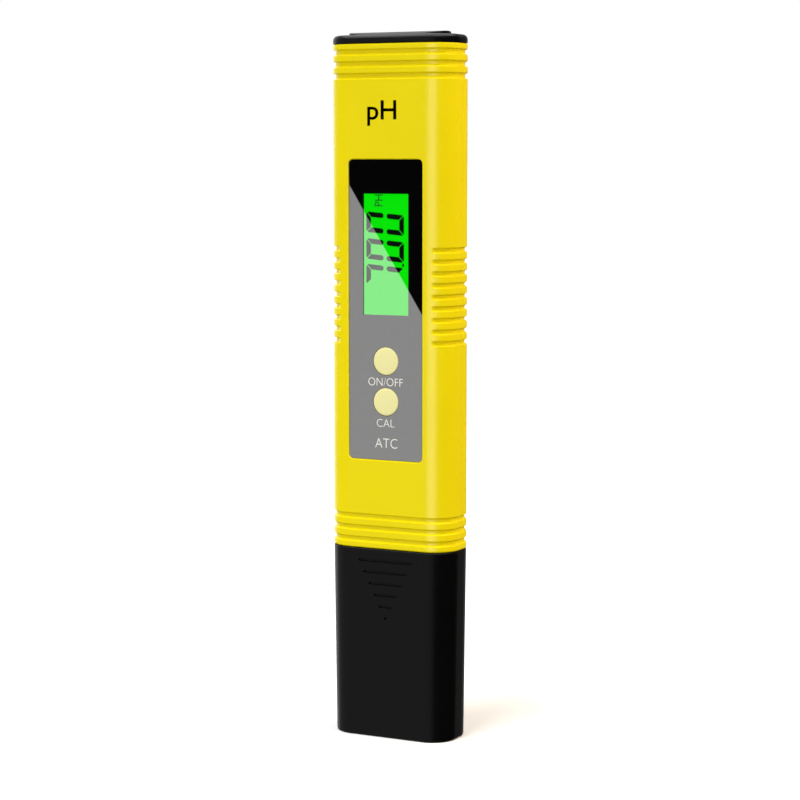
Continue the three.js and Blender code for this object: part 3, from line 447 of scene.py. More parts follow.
MATERIALS = {
    "yellow": moulded("yellow_abs", (0.80, 0.655, 0.002), 0.28, specular=0.05, change=0.02),
    "black": moulded("black_abs", (0.0022, 0.0022, 0.0024), 0.32, specular=0.45, change=0.1),
    "inner_black": moulded("black_inner", (0.006, 0.006, 0.007), 0.5, change=0.1),
    # Painted reflection: the panel, the display and its segments take their second, lighter tone below and
    # left of the diagonal.
    "panel": with_painted_reflection("panel_with_painted_reflection", (0.0004, 0.0004, 0.0004), (0.24, 0.24, 0.24), 0.3),
    "lcd": with_painted_reflection("lit_display", (0.0, 0.79, 0.0), (0.26, 0.88, 0.26), 0.2, DISPLAY_SHIFT, glow=1.1),
    "segment": with_painted_reflection("display_segment", (0.001, 0.004, 0.001), (0.24, 0.25, 0.24), 0.4, DISPLAY_SHIFT),
    "legend": moulded("display_legend", (0.0, 0.04, 0.004), 0.5, change=0.02),
    "window": clear("window_acrylic", (0.01, 0.01, 0.01), 0.06, specular=0.15),
    "white": moulded("white_abs", (0.72, 0.71, 0.68), 0.5),
    "diffuser": moulded("opal_diffuser", (0.70, 0.78, 0.69), 0.55),
    "button": moulded("button_cream", (0.86, 0.80, 0.36), 0.45, change=0.015, specular=0.3),
    "rubber": moulded("black_rubber", (0.012, 0.012, 0.012), 0.8, grain=4.0, depth=0.01, change=0.15),
    "chip": moulded("chip_epoxy", (0.016, 0.016, 0.018), 0.6, grain=5.0, depth=0.01, change=0.1),
    "label_dark": moulded("print_black", (0.004, 0.004, 0.004), 0.45, change=0.05, specular=0.2),
    "label_light": moulded("print_cream", (0.90, 0.88, 0.80), 0.5, change=0.03, specular=0.2),
    "steel": metal("steel", (0.62, 0.63, 0.64), 0.28, (1, 1, 0.05)),
    "cell_steel": metal("cell_nickel", (0.68, 0.67, 0.65), 0.25, (0.15, 1, 1)),
    "bronze": metal("contact_bronze", (0.62, 0.43, 0.20), 0.33, (1, 1, 0.1)),
    "silver": metal("silver_wire", (0.66, 0.65, 0.63), 0.35, (1, 1, 0.05), grain=6.0),
    "glass": clear("electrode_glass", (0.82, 0.90, 0.92), 0.22, 0.02),
    "sleeve": clear("clear_sleeve", (0.80, 0.84, 0.86), 0.20, 0.06),
    "resin": moulded("potting_resin", (0.15, 0.10, 0.04), 0.35, grain=0.8, depth=0.02, change=0.2),
    "ceramic": moulded("porous_ceramic", (0.74, 0.72, 0.68), 0.85, grain=9.0, depth=0.03, change=0.06),
    "white_wire": moulded("white_insulation", (0.70, 0.69, 0.66), 0.5, change=0.05),
    "black_wire": moulded("black_insulation", (0.01, 0.01, 0.01), 0.5, change=0.2),
    "red_wire": moulded("red_insulation", (0.36, 0.02, 0.014), 0.5, change=0.08),
}


def circuit_material():
    """Green solder mask with raised tracks under it."""
    material, tree, shader = new_material("solder_mask")
    place = object_place(tree)
    turn = add_node(tree, "Mapping", Rotation=(math.radians(90), 0, 0), Scale=(1 / MM, 1 / MM, 1 / MM))
    tree.links.new(place, turn.inputs["Vector"])
    tracks = add_node(tree, "TexBrick", Scale=0.45, Mortar_Size=0.05)
    light, dark, track = (0.012, 0.10, 0.035, 1), (0.010, 0.085, 0.030, 1), (0.03, 0.20, 0.06, 1)
    set_inputs(tracks, Color1=light, Color2=dark, Mortar=track)
    tree.links.new(turn.outputs["Vector"], tracks.inputs["Vector"])
    tree.links.new(tracks.outputs["Color"], shader.inputs["Base Color"])
    bump(tree, shader, tracks.outputs["Fac"], 0.03 * MM)
    set_inputs(shader, Roughness=0.3)
    return material


def sponge_material():
    """Open cell foam: rounded pores, whose hollows are darkened with painted shade."""
    material, tree, shader = new_material("cap_foam")
    place = object_place(tree)
    pores = add_node(tree, "TexVoronoi", Scale=1.6 / MM)
    tree.links.new(place, pores.inputs["Vector"])
    # Painted shade: the pores' hollows are coloured darker than the foam's skin.
    painted_hollow_shade, skin = (0.42, 0.34, 0.16), (0.86, 0.78, 0.50)
    pattern = ramp(tree, pores.outputs["Distance"], [(0.05, painted_hollow_shade), (0.45, skin)])
    tree.links.new(pattern, shader.inputs["Base Color"])
    bump(tree, shader, pores.outputs["Distance"], 0.25 * MM)
    set_inputs(shader, Roughness=0.95)
    return material


MATERIALS["board"] = circuit_material()
MATERIALS["sponge"] = sponge_material()


# ---------------- the two shells

BODY_LOW, BODY_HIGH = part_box("front_shell")
BODY_WIDTH = BODY_HIGH.x - BODY_LOW.x
BODY_FRONT = BODY_LOW.y
BODY_SECTION = (BODY_WIDTH, -2 * BODY_FRONT, BODY_CORNER)
INNER_FRONT = BODY_FRONT + WALL
SKIN = 0.015 * MM  # how far the printed marks stand above the shell


def all_grooves():
    """(height, depth, half width of the flat bottom, on the sides only) for each groove."""
    grooves = []
    for i in range(RING_COUNT):
        grooves.append((TOP_RING - i * GROOVE_PITCH, GROOVE_DEPTH, GROOVE_FLAT, False))
        grooves.append((LOW_RING - i * GROOVE_PITCH, LOW_RING_DEPTH, LOW_RING_FLAT, False))
    for i in range(SIDE_GROOVE_COUNT):
        grooves.append((SIDE_GROOVE_TOP - i * SIDE_GROOVE_PITCH, GROOVE_DEPTH, SIDE_GROOVE_FLAT, True))
    return grooves


GROOVES = all_grooves()


def smooth_share(value):
    value = min(1.0, max(0.0, value))
    return value * value * (3 - 2 * value)


def shell_sink(x, z):
    """How far the shell's surface lies inside its outline, from grooves and from its round ends."""
    sink = 0.0
    for height, depth, flat, sides_only in GROOVES:
        reach = abs(z - height) - flat
        if reach < GROOVE_SLOPE:
            share = 0.5 + 0.5 * math.cos(math.pi * max(reach, 0) / GROOVE_SLOPE)
            if sides_only:
                share *= smooth_share((abs(x) - SIDE_FADE_START) / (SIDE_FADE_END - SIDE_FADE_START))
            sink = max(sink, share * depth)
    end = min(z - BODY_LOW.z, BODY_HIGH.z - z)
    if end < EDGE_ROUND:
        rest = 1 - end / EDGE_ROUND
        sink = max(sink, EDGE_ROUND * (1 - math.sqrt(max(0.0, 1 - rest * rest))))
    return sink


def shell_levels():
    """Heights at which the shell's outline is taken: close together only where it changes."""
    steps = 7
    heights = set()
    for height, _, flat, _ in GROOVES:
        for i in range(steps + 1):
            reach = flat + GROOVE_SLOPE * i / steps
            heights.update((height - reach, height + reach))
    for drop, _ in round_edge(EDGE_ROUND, 4):
        heights.update((BODY_LOW.z + drop, BODY_HIGH.z - drop))
    return sorted({round(height, LEVEL_DIGITS) for height in heights})


def shell_half(name, side):
    """Half of the tube between the body's outline and its wall; side is -1 for the front, 1 for the rear."""
    def half(section):
        points = outline(*section)
        count = len(points) // 2
        run = points[count:] if side < 0 else points[:count]
        ends = []
        for point, normal in (run[0], run[-1]):
            ends.append((Vector((point.x, side * SEAM / 2)), normal))
        return [ends[0], *run, ends[1]]

    outer = half(BODY_SECTION)
    inner = half(inset(BODY_SECTION, WALL))
    heights = shell_levels()
    count = len(outer)
    points = []
    for z in heights:
        for point, normal in outer:
            place = point - normal * shell_sink(point.x, z)
            points.append(Vector((place.x, place.y, z)))
    inner_start = len(points)
    for z in (heights[0], heights[-1]):
        points += [Vector((point.x, point.y, z)) for point, _ in inner]
    faces = []
    for row in range(len(heights) - 1):
        for i in range(count - 1):
            a = row * count + i
            faces.append((a, a + 1, a + count + 1, a + count))
    top_row = (len(heights) - 1) * count
    for i in range(count - 1):
        a = inner_start + i
        faces.append((a, a + count, a + count + 1, a + 1))
        faces.append((i, inner_start + i, inner_start + i + 1, i + 1))
        faces.append((top_row + i, top_row + i + 1, a + count + 1, a + count))
    for i in (0, count - 1):
        column = [row * count + i for row in range(len(heights))]
        faces.append(tuple(column + [inner_start + count + i, inner_start + i]))
    return add_object(name, mesh_from(name, points, faces))


def front_middle(low, high):
    """The middle of a box as seen from the front."""
    return (low.x + high.x) / 2, (low.z + high.z) / 2


def screw_places():
    boxes = [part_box(f"board_screw_{i}") for i in range(1, 5)]
    return [front_middle(low, high) for low, high in boxes]


def recess_tool():
    """Cuts the panel's recess, with a round lip at its mouth."""
    low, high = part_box("display_panel")
    centre = (0, (low.z + high.z) / 2)
    base = (high.x - low.x + 2 * RECESS_GAP, high.z - low.z + 2 * RECESS_GAP, PANEL_CORNER + RECESS_GAP)
    mouth = BODY_FRONT + SKIN
    loops = [facing(inset(base, -RECESS_LIP), mouth - BEYOND, centre)]
    for sink, growth in round_edge(RECESS_LIP, 5):
        loops.append(facing(inset(base, -growth), mouth + sink, centre))
    loops.append(facing(base, BODY_FRONT + RECESS_DEPTH, centre))
    return loft("recess_tool", loops)


def button_places():
    boxes = [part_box(name) for name in ("power_button", "calibrate_button")]
    return [front_middle(low, high) for low, high in boxes]


def window_tool(low, high, gap, front, back):
    """Cuts a hole round a box, wider by the gap, from one depth to another."""
    return block("window_tool", (low.x - gap, front, low.z - gap), (high.x + gap, back, high.z + gap))


def front_shell():
    piece = shell_half("front_shell_moulded", -1)
    board_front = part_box("circuit_board")[0].y
    bosses = [
        level_bar("boss", BOSS_RADIUS, x, z, INNER_FRONT - ROOT_DEPTH, board_front - RECESS_GAP)
        for x, z in screw_places()
    ]
    carve(piece, bosses, "UNION")
    low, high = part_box("lcd_glass")
    front, back = BODY_FRONT - BEYOND, INNER_FRONT + BEYOND
    tools = [recess_tool(), window_tool(low, high, RECESS_GAP, front, back)]
    for x, z in button_places():
        tools.append(level_bar("button_hole", BUTTON_HOLE_RADIUS, x, z, front, back))
    for x, z in screw_places():
        tools.append(level_bar("boss_hole", BOSS_HOLE_RADIUS, x, z, INNER_FRONT, board_front + BEYOND))
    carve(piece, tools)
    return finish_piece(settle_shading(piece), "pen", "yellow", ["front_shell"])


def rear_shell():
    piece = shell_half("rear_shell_moulded", 1)
    board_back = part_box("circuit_board")[1].y
    ribs = [
        block(
            "rib",
            (-RIB_HALF_WIDTH, board_back + RECESS_GAP, z - RIB_THICK / 2),
            (RIB_HALF_WIDTH, -INNER_FRONT + ROOT_DEPTH, z + RIB_THICK / 2),
        )
        for z in RIB_HEIGHTS
    ]
    carve(piece, ribs, "UNION")
    return finish_piece(settle_shading(piece), "pen", "yellow", ["rear_shell"])


# ---------------- top end

DRAWER_SECTION = (24.0 * MM, 11.8 * MM, 2.4 * MM)
HEAD_SECTION = (28.4 * MM, 13.0 * MM, 6.4 * MM)
HEAD_BOTTOM = 185.9 * MM
HEAD_ROUND = 0.2 * MM
CROWN_RADIUS = 28 * MM
CROWN_SHARES = (0.3, 0.5, 0.7, 0.86, 0.97)  # of the head's corner radius, from its edge inwards
NECK_BOTTOM = 181.8 * MM
SEAL_SINK = 0.8 * MM
SEAL_SLACK = 0.1 * MM
TRAY_END = 11.6 * MM
TRAY_END_THICK = 0.65 * MM
TRAY_FLOOR = 0.9 * MM
TRAY_ROOT = 0.5 * MM  # how far the tray reaches up into the neck
TRAY_SLOT = 4.6 * MM
TRAY_SLOT_DROP = 1.8 * MM  # from the top of the cells to the top of the slots
TRAY_OVERLAP = 0.3 * MM  # how far the slots reach into the room for the cells
MOUTH_GAP = 0.25 * MM
RIM_GAP = 0.15 * MM
SEAT_GAP = 0.2 * MM
SEAT_CHAMFER = 0.1 * MM
RIM_ROUND = 1.3 * MM
CELL_CAP_INSET = 1.3 * MM  # from the can's side to the centre of the raised cap's edge


def rounded_top(section, low, high, radius, steps=6):
    """Loops from low up to high, with a round edge of the given radius at the top."""
    edge = [level(inset(section, amount), high - drop) for amount, drop in round_edge(radius, steps)]
    return [level(section, low), *edge]


def crowned_top(section, low, top, radius, steps=5):
    """Loops from low up to a round edge, then over a top that is arched from front to back."""
    insets = round_edge(radius, steps)
    insets += [(section[2] * share, 0.0) for share in CROWN_SHARES]
    loops = [level(section, low)]
    for amount, drop in insets:
        loop = level(inset(section, amount), top - drop - CROWN_RADIUS)
        for point in loop:
            point.z += math.sqrt(CROWN_RADIUS ** 2 - point.y ** 2)
        loops.append(loop)
    return loops


def seal_groove(section, low, high):
    """Loops of a groove round a section, for a rubber ring between two heights."""
    groove = inset(section, SEAL_SINK)
    return [
        level(section, low - SEAL_SLACK),
        level(groove, low - SEAL_SLACK),
        level(groove, high + SEAL_SLACK),
        level(section, high + SEAL_SLACK),
    ]


def top_bezel():
    """Rim with a round upper edge, a seat for the drawer's head and a skirt that plugs into the body."""
    low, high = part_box("top_bezel")
    under_rim = BODY_HIGH.z + RIM_GAP
    skirt = inset(BODY_SECTION, WALL + MOUTH_GAP)
    seat = inset(HEAD_SECTION, -MOUTH_GAP)
    mouth = inset(DRAWER_SECTION, -MOUTH_GAP)
    loops = [level(skirt, low.z), level(skirt, under_rim)]
    loops += rounded_top(BODY_SECTION, under_rim, high.z, RIM_ROUND)
    seat_floor = HEAD_BOTTOM - SEAT_GAP
    loops += [level(inset(seat, -SEAT_CHAMFER), high.z), level(seat, high.z - SEAT_CHAMFER)]
    loops += [level(seat, seat_floor), level(mouth, seat_floor), level(mouth, low.z)]
    piece = loft("bezel_moulded", loops, ring=True)
    return finish_piece(settle_shading(piece), "pen", "black", ["top_bezel"])


def battery_drawer():
    """Raised head, neck with the seal's groove, and the tray under them that holds the cells."""
    low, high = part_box("battery_drawer")
    seal_low, seal_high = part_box("battery_seal")
    loops = [level(DRAWER_SECTION, NECK_BOTTOM)]
    loops += seal_groove(DRAWER_SECTION, seal_low.z, seal_high.z)
    loops += [level(DRAWER_SECTION, HEAD_BOTTOM)]
    loops += crowned_top(HEAD_SECTION, HEAD_BOTTOM, high.z, HEAD_ROUND)
    piece = loft("drawer_moulded", loops)
    tray_section = (2 * TRAY_END, *DRAWER_SECTION[1:])
    tray = loft("tray", [level(tray_section, low.z), level(tray_section, NECK_BOTTOM + TRAY_ROOT)])
    carve(piece, [tray], "UNION")
    inner = TRAY_END - TRAY_END_THICK
    far = 20 * MM
    cell_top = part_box("cell_1")[1].z
    tools = [block("cell_room", (-inner, -far, low.z + TRAY_FLOOR), (inner, far, NECK_BOTTOM))]
    for side in (-1, 1):
        left, right = sorted((side * (inner - TRAY_OVERLAP), side * far))
        tools.append(block(
            "slot",
            (left, -TRAY_SLOT / 2, low.z - BEYOND),
            (right, TRAY_SLOT / 2, cell_top - TRAY_SLOT_DROP),
        ))
    carve(piece, tools)
    return finish_piece(settle_shading(piece), "drawer", "black", ["battery_drawer"])


def seal_ring(name, node, section, proud, body):
    """Rubber ring of round section that fills its groove; proud is how far it stands out of the section."""
    low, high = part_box(node)
    middle = (low.z + high.z) / 2
    half = (high.z - low.z) / 2
    inner = SEAL_SINK - SEAL_SLACK
    centre = (inner - proud) / 2
    reach = (inner + proud) / 2
    loops = []
    steps = 16
    for i in range(steps):
        angle = 2 * math.pi * i / steps
        loops.append(level(inset(section, centre - reach * math.cos(angle)), middle + half * math.sin(angle)))
    piece = loft(name, loops, ring=True)
    return finish_piece(piece, body, "rubber", [node])


def button_cell(index):
    """Can, crimped rim and raised cap of one cell, turned about X."""
    node = f"cell_{index}"
    low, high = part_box(node)
    centre = (low + high) / 2
    radius = (high.z - low.z) / 2
    half = (high.x - low.x) / 2
    foot, shoulder, crown = 0.35 * MM, 0.5 * MM, 0.3 * MM  # radii of the can's and the cap's edges
    profile = arc((radius - foot, -half + foot), foot, -90, 0, 4)
    profile += arc((radius - shoulder, half - 2 * shoulder), shoulder, 0, 70, 5)
    profile += [(radius - 0.75 * MM, half - 0.52 * MM), (radius - 0.95 * MM, half - 0.6 * MM)]
    profile += arc((radius - CELL_CAP_INSET, half - crown), crown, 0, 90, 4)
    place = Matrix.Translation(centre) @ Matrix.Rotation(math.radians(90), 4, "Y")
    piece = turned(f"button_cell_{index}", profile, place, 64)
    return finish_piece(settle_shading(piece), "drawer", "cell_steel", [node])


# ---------------- panel, display and buttons

PANEL_ROUND = 0.12 * MM
LENS_GAP = 0.1 * MM
LENS_CORNER = 0.4 * MM
LENS_ROUND = 0.08 * MM
LCD_CORNER = 0.3 * MM
LCD_ROUND = 0.15 * MM
PRINT_THICK = 0.04 * MM


def front_plate(name, low, high, corner, edge):
    """A plate facing the front, with a round edge on its front face."""
    centre = front_middle(low, high)
    section = (high.x - low.x, high.z - low.z, corner)
    loops = [facing(section, high.y, centre)]
    for amount, drop in round_edge(edge, 3):
        loops.append(facing(inset(section, amount), low.y + drop, centre))
    return loft(name, loops)


def display_panel():
    low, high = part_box("display_panel")
    growth = Vector((PANEL_GROWTH, 0, PANEL_GROWTH))
    piece = front_plate("panel_with_painted_reflection", low - growth, high + growth, PANEL_CORNER, PANEL_ROUND)
    lens_low, lens_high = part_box("window_lens")
    front, back = low.y - BEYOND, high.y + BEYOND
    tools = [window_tool(lens_low, lens_high, LENS_GAP, front, back)]
    for x, z in button_places():
        tools.append(level_bar("button_hole", BUTTON_HOLE_RADIUS, x, z, front, back, 64))
    carve(piece, tools)
    return finish_piece(settle_shading(piece), "pen", "panel", ["display_panel"])


def window_lens():
    low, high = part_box("window_lens")
    piece = front_plate("window_pane", low, high, LENS_CORNER, LENS_ROUND)
    return finish_piece(settle_shading(piece), "pen", "window", ["window_lens"])


def lcd():
    low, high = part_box("lcd_glass")
    piece = front_plate("lit_display", low, high, LCD_CORNER, LCD_ROUND)
    return finish_piece(settle_shading(piece), "pen", "lcd", ["lcd_glass"])


# Digits are drawn in (along, up), millimetres from a digit's lower left corner; the display reads upwards.
DIGIT_HEIGHT = 11.1
DIGIT_WIDTH = 5.4
DIGIT_SLANT = 0.085
DIGIT_FOOT = 4.98 * MM
SEVEN_START = 120.72 * MM
ZERO_STARTS = (127.48 * MM, 134.52 * MM)
POINT_START = 126.45 * MM
POINT_SIZE = (0.8, 0.5)
STROKE = 1.35
MITRE_GAP = 0.14
CORNER_CUT = 0.55
CORNER_RISE = (CORNER_CUT - MITRE_GAP) / 2
MIDDLE_GAP = 0.45
INK_THICK = 0.02 * MM


def end_segment(at_top):
    """The segment across a digit's top or bottom."""
    left = [(MITRE_GAP + STROKE, STROKE), (MITRE_GAP + CORNER_RISE, CORNER_RISE), (CORNER_CUT, 0.0)]
    right = [(DIGIT_WIDTH - u, v) for u, v in reversed(left)]
    return [(u, DIGIT_HEIGHT - v if at_top else v) for u, v in left + right]


def side_segment(at_right, at_top):
    """One of the four upright segments: mitred at its outer end, round at the middle of the digit."""
    middle = DIGIT_HEIGHT / 2 - MIDDLE_GAP
    points = [(0.0, CORNER_CUT), (CORNER_RISE, MITRE_GAP + CORNER_RISE), (STROKE, MITRE_GAP + STROKE)]
    points += arc((STROKE / 2, middle - STROKE / 2), STROKE / 2, 0, 180, 10)
    points = [(DIGIT_WIDTH - u if at_right else u, v) for u, v in points]
    return [(u, DIGIT_HEIGHT - v if at_top else v) for u, v in points]


SEGMENTS = {
    "a": end_segment(True),
    "b": side_segment(True, True),
    "c": side_segment(True, False),
    "d": end_segment(False),
    "e": side_segment(False, False),
    "f": side_segment(False, True),
}


def ink_plate(points, front, origin):
    """Points and faces of a thin slanted shape; (along, up) turn into Z and -X from the origin."""
    count = len(points)
    places = []
    for depth in (front, front + INK_THICK):
        for u, v in points:
            along = u + DIGIT_SLANT * v
            places.append(Vector((origin[0] - v * MM, depth, origin[1] + along * MM)))
    faces = [tuple(range(count)), tuple(range(count, 2 * count))]
    faces += [(i, (i + 1) % count, count + (i + 1) % count, count + i) for i in range(count)]
    return places, faces


def display_segments():
    """The reading 7.00, as thin plates on the display's face."""
    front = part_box("lcd_glass")[0].y - INK_THICK
    shapes = [(SEGMENTS[key], SEVEN_START) for key in "abc"]
    for start in ZERO_STARTS:
        shapes += [(SEGMENTS[key], start) for key in "abcdef"]
    wide, tall = POINT_SIZE
    shapes.append(([(0, 0), (wide, 0), (wide, tall), (0, tall)], POINT_START))
    points, faces = [], []
    for shape, start in shapes:
        places, sides = ink_plate(shape, front, (DIGIT_FOOT, start))
        faces += [tuple(index + len(points) for index in side) for side in sides]
        points += places
    piece = add_object("display_segments", mesh_from("display_segments", points, faces))
    return finish_piece(piece, "pen", "segment")


def lettering(name, words, low, high, depth, thick, look, upwards=False, weight=0.0):
    """Plain lettering fitted to a rectangle in X and Z; upwards turns it to read towards +Z."""
    text = bpy.data.curves.new(name, "FONT")
    text.body = words
    text.offset = weight
    text.extrude = 0.1
    text.resolution_u = 6
    holder = bpy.data.objects.new(name, text)
    bpy.context.scene.collection.objects.link(holder)
    bpy.context.view_layer.update()
    mesh = bpy.data.meshes.new_from_object(holder.evaluated_get(bpy.context.evaluated_depsgraph_get()))
    bpy.data.objects.remove(holder)
    spots = [(-v.co.y, v.co.x, v.co.z) if upwards else (v.co.x, v.co.y, v.co.z) for v in mesh.vertices]
    bounds = [(min(axis), max(axis)) for axis in zip(*spots)]
    for vertex, spot in zip(mesh.vertices, spots):
        share = [(value - least) / (most - least) for value, (least, most) in zip(spot, bounds)]
        vertex.co = (
            low[0] + (high[0] - low[0]) * share[0],
            depth + thick * (1 - share[2]),
            low[1] + (high[1] - low[1]) * share[1],
        )
    turn_outwards(mesh, merge=0.0001 * MM)
    piece = bpy.data.objects.new(name, mesh)
    bpy.context.scene.collection.objects.link(piece)
    return finish_piece(piece, "pen", look)


def all_lettering():
    """Plain function words only, as such meters carry: the quantity, the keys and the compensation."""
    panel_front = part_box("display_panel")[0].y
    lettering(
        "mark_quantity", "pH", (-5.2 * MM, 163.2 * MM), (3.35 * MM, 169.8 * MM),
        BODY_FRONT, PRINT_THICK, "label_dark", weight=0.012,
    )
    marks = [
        ("mark_power", "ON/OFF", (-5.1, 94.95), (5.1, 97.05)),
        ("mark_calibrate", "CAL", (-2.6, 84.05), (2.6, 86.13)),
        ("mark_compensation", "ATC", (-3.1, 78.45), (3.5, 81.0)),
    ]
    for name, words, low, high in marks:
        lettering(
            name, words, [value * MM for value in low], [value * MM for value in high],
            panel_front - SKIN, PRINT_THICK, "label_light", weight=-0.014,
        )
    lcd_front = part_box("lcd_glass")[0].y
    lettering(
        "mark_unit", "PH", (-3.65 * MM, 142.2 * MM), (-1.3 * MM, 145.3 * MM),
        lcd_front - INK_THICK, INK_THICK, "legend", upwards=True,
    )


def button(prefix, body):
    """Round key with a slightly domed face, a soft edge and a flange behind the shell."""
    node = f"{prefix}_button"
    low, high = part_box(node)
    flange = (high.x - low.x) / 2
    depth = high.y - low.y
    flange_thick = 0.5 * MM
    edge = 0.22 * MM
    dome = 0.06 * MM
    profile = [(flange, 0.0), (flange, flange_thick), (BUTTON_RADIUS, flange_thick)]
    profile += arc((BUTTON_RADIUS - edge, depth - dome - edge), edge, 0, 80, 6)
    profile += [(BUTTON_RADIUS * share, depth - dome * share * share) for share in (0.8, 0.55, 0.3, 0.08)]
    x, z = front_middle(low, high)
    place = Matrix.Translation((x, high.y, z)) @ Matrix.Rotation(math.radians(90), 4, "X")
    piece = turned(f"{prefix}_key", profile, place, 64)
    return finish_piece(settle_shading(piece), body, "button", [node])


# ---------------- cap and electrode

def cap_section(z, amount=0.0):
    """The cap's tapered section at height z, drawn in by an amount."""
    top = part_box("storage_cap")[1].z
    section = [foot + (upper - foot) * z / top for foot, upper in zip(CAP_FOOT_SECTION, CAP_TOP_SECTION)]
    return inset(section, amount)


def grip_tool(index):
    """One slot of the grip mark: a level bar with round ends, narrower at its bottom than at its mouth."""
    z = GRIP_TOP - index * GRIP_PITCH
    half = GRIP_HALF_WIDTH - index * GRIP_NARROWING
    half = max(half, GRIP_HEIGHT / 2)
    face = -cap_section(z)[1] / 2
    mouth = (2 * half, GRIP_HEIGHT, GRIP_HEIGHT / 2)
    bottom = inset(mouth, GRIP_SLOPE)
    outside = inset(mouth, -GRIP_SLOPE)
    return loft("grip_tool", [
        facing(outside, face - GRIP_DEPTH, (0, z)),
        facing(mouth, face, (0, z)),
        facing(bottom, face + GRIP_DEPTH, (0, z)),
    ])


def storage_cap():
    low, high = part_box("storage_cap")
    loops = []
    for rise, amount in round_edge(CAP_FOOT_ROUND, 5):
        loops.append(level(cap_section(rise, amount), rise))
    for amount, drop in round_edge(CAP_LIP_ROUND, 4):
        loops.append(level(cap_section(high.z - drop, amount), high.z - drop))
    loops.append(level(cap_section(high.z, CAP_WALL), high.z))
    loops.append(level(cap_section(CAP_FLOOR, CAP_WALL), CAP_FLOOR))
    piece = loft("cap_moulded", loops)
    carve(piece, [grip_tool(i) for i in range(GRIP_SLOTS)])
    return finish_piece(settle_shading(piece), "cap", "black", ["storage_cap"])


def cap_sponge():
    low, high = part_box("cap_sponge")
    section = (high.x - low.x, high.y - low.y, CAP_FOOT_SECTION[2] - CAP_WALL)
    piece = loft("cap_foam", rounded_top(section, low.z, high.z, SPONGE_ROUND))
    return finish_piece(settle_shading(piece), "cap", "sponge", ["cap_sponge"])


SPIGOT_SECTION = (31.6 * MM, 13.2 * MM, 4.9 * MM)
SPIGOT_ROUND = 0.8 * MM
HOLDER_BORE_RADIUS = 5.4 * MM


def round_section(radius):
    """A circle as a section, so that it can be lofted with rounded rectangles."""
    return 2 * radius, 2 * radius, radius


def electrode_holder():
    """Spigot with a soft lower edge, the seal's groove, and the electrode's bore."""
    low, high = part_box("electrode_holder")
    seal_low, seal_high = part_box("holder_seal")
    edge = round_edge(SPIGOT_ROUND, 5)
    loops = [level(inset(SPIGOT_SECTION, amount), low.z + rise) for rise, amount in edge]
    loops += seal_groove(SPIGOT_SECTION, seal_low.z, seal_high.z)
    loops += [
        level(SPIGOT_SECTION, high.z),
        level(round_section(HOLDER_BORE_RADIUS), high.z),
        level(round_section(HOLDER_BORE_RADIUS), low.z),
    ]
    piece = loft("holder_moulded", loops, ring=True)
    return finish_piece(settle_shading(piece), "pen", "inner_black", ["electrode_holder"])


SLEEVE_WALL = 0.9 * MM
SLEEVE_FLOOR_TOP = 18.0 * MM
SLEEVE_FLOOR_BOTTOM = 16.0 * MM
PRONG_GAP = 4.4 * MM
PRONG_ROOT = 1.0 * MM  # from the sleeve's floor down to the top of the gaps
GLASS_RADIUS = 2.6 * MM
GLASS_WALL = 0.5 * MM
BULB_RADIUS = 3.1 * MM
BULB_Z = 12.6 * MM
SIDE_BORE_X = 4.2 * MM
PROBE_RADIUS = 1.0 * MM


def electrode_sleeve():
    """Clear tube with a floor that the electrodes pass through and four prongs round the bulb."""
    low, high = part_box("electrode_sleeve")
    radius = (high.x - low.x) / 2
    inner = radius - SLEEVE_WALL
    profile = [(inner, low.z)]
    foot, rim = 0.5 * MM, 0.2 * MM  # radii of its outer edges
    bore = GLASS_RADIUS + 0.15 * MM
    profile += arc((radius - foot, low.z + foot), foot, -90, 0, 5)
    profile += arc((radius - rim, high.z - rim), rim, 0, 90, 3)
    profile += [(inner, high.z), (inner, SLEEVE_FLOOR_TOP), (bore, SLEEVE_FLOOR_TOP)]
    profile += [(bore, SLEEVE_FLOOR_BOTTOM), (inner, SLEEVE_FLOOR_BOTTOM)]
    piece = turned("sleeve_moulded", profile, steps=72, ring=True)
    far = 10 * MM
    half = PRONG_GAP / 2
    bottom, top = low.z - BEYOND, high.z + BEYOND
    gap_top = SLEEVE_FLOOR_BOTTOM - PRONG_ROOT
    tools = [
        block("gap_x", (-far, -half, bottom), (far, half, gap_top)),
        block("gap_y", (-half, -far, bottom), (half, far, gap_top)),
        upright_bar("probe_bore", PROBE_RADIUS + 0.1 * MM, -SIDE_BORE_X, 0, bottom, top, 32),
        upright_bar("junction_bore", PROBE_RADIUS, SIDE_BORE_X, 0, bottom, top, 32),
    ]
    carve(piece, tools)
    return finish_piece(settle_shading(piece), "pen", "sleeve", ["electrode_sleeve"])


def glass_electrode():
    """Glass tube blown into a thin bulb at its lower end."""
    low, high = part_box("glass_electrode")
    neck = math.degrees(math.asin((GLASS_RADIUS - 0.15 * MM) / BULB_RADIUS))
    tube_start = SLEEVE_FLOOR_BOTTOM + 0.4 * MM
    outer = arc((0, BULB_Z), BULB_RADIUS, -89, 90 - neck, 20)
    inner = arc((0, BULB_Z), BULB_RADIUS - GLASS_WALL, -89, 90 - neck, 20)
    profile = outer + [(GLASS_RADIUS, tube_start), (GLASS_RADIUS, high.z)]
    profile += [(GLASS_RADIUS - GLASS_WALL, high.z), (GLASS_RADIUS - GLASS_WALL, tube_start)]
    profile += inner[::-1]
    piece = turned("glass_tube", profile, steps=48)
    return finish_piece(settle_shading(piece), "pen", "glass", ["glass_electrode"])


def temperature_probe():
    low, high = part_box("temperature_probe")
    radius = (high.x - low.x) / 2
    profile = arc((0, low.z + radius), radius, -88, 0, 8) + [(radius, high.z)]
    place = Matrix.Translation(((low.x + high.x) / 2, 0, 0))
    piece = turned("probe_tube", profile, place, 32)
    return finish_piece(settle_shading(piece), "pen", "steel", ["temperature_probe"])


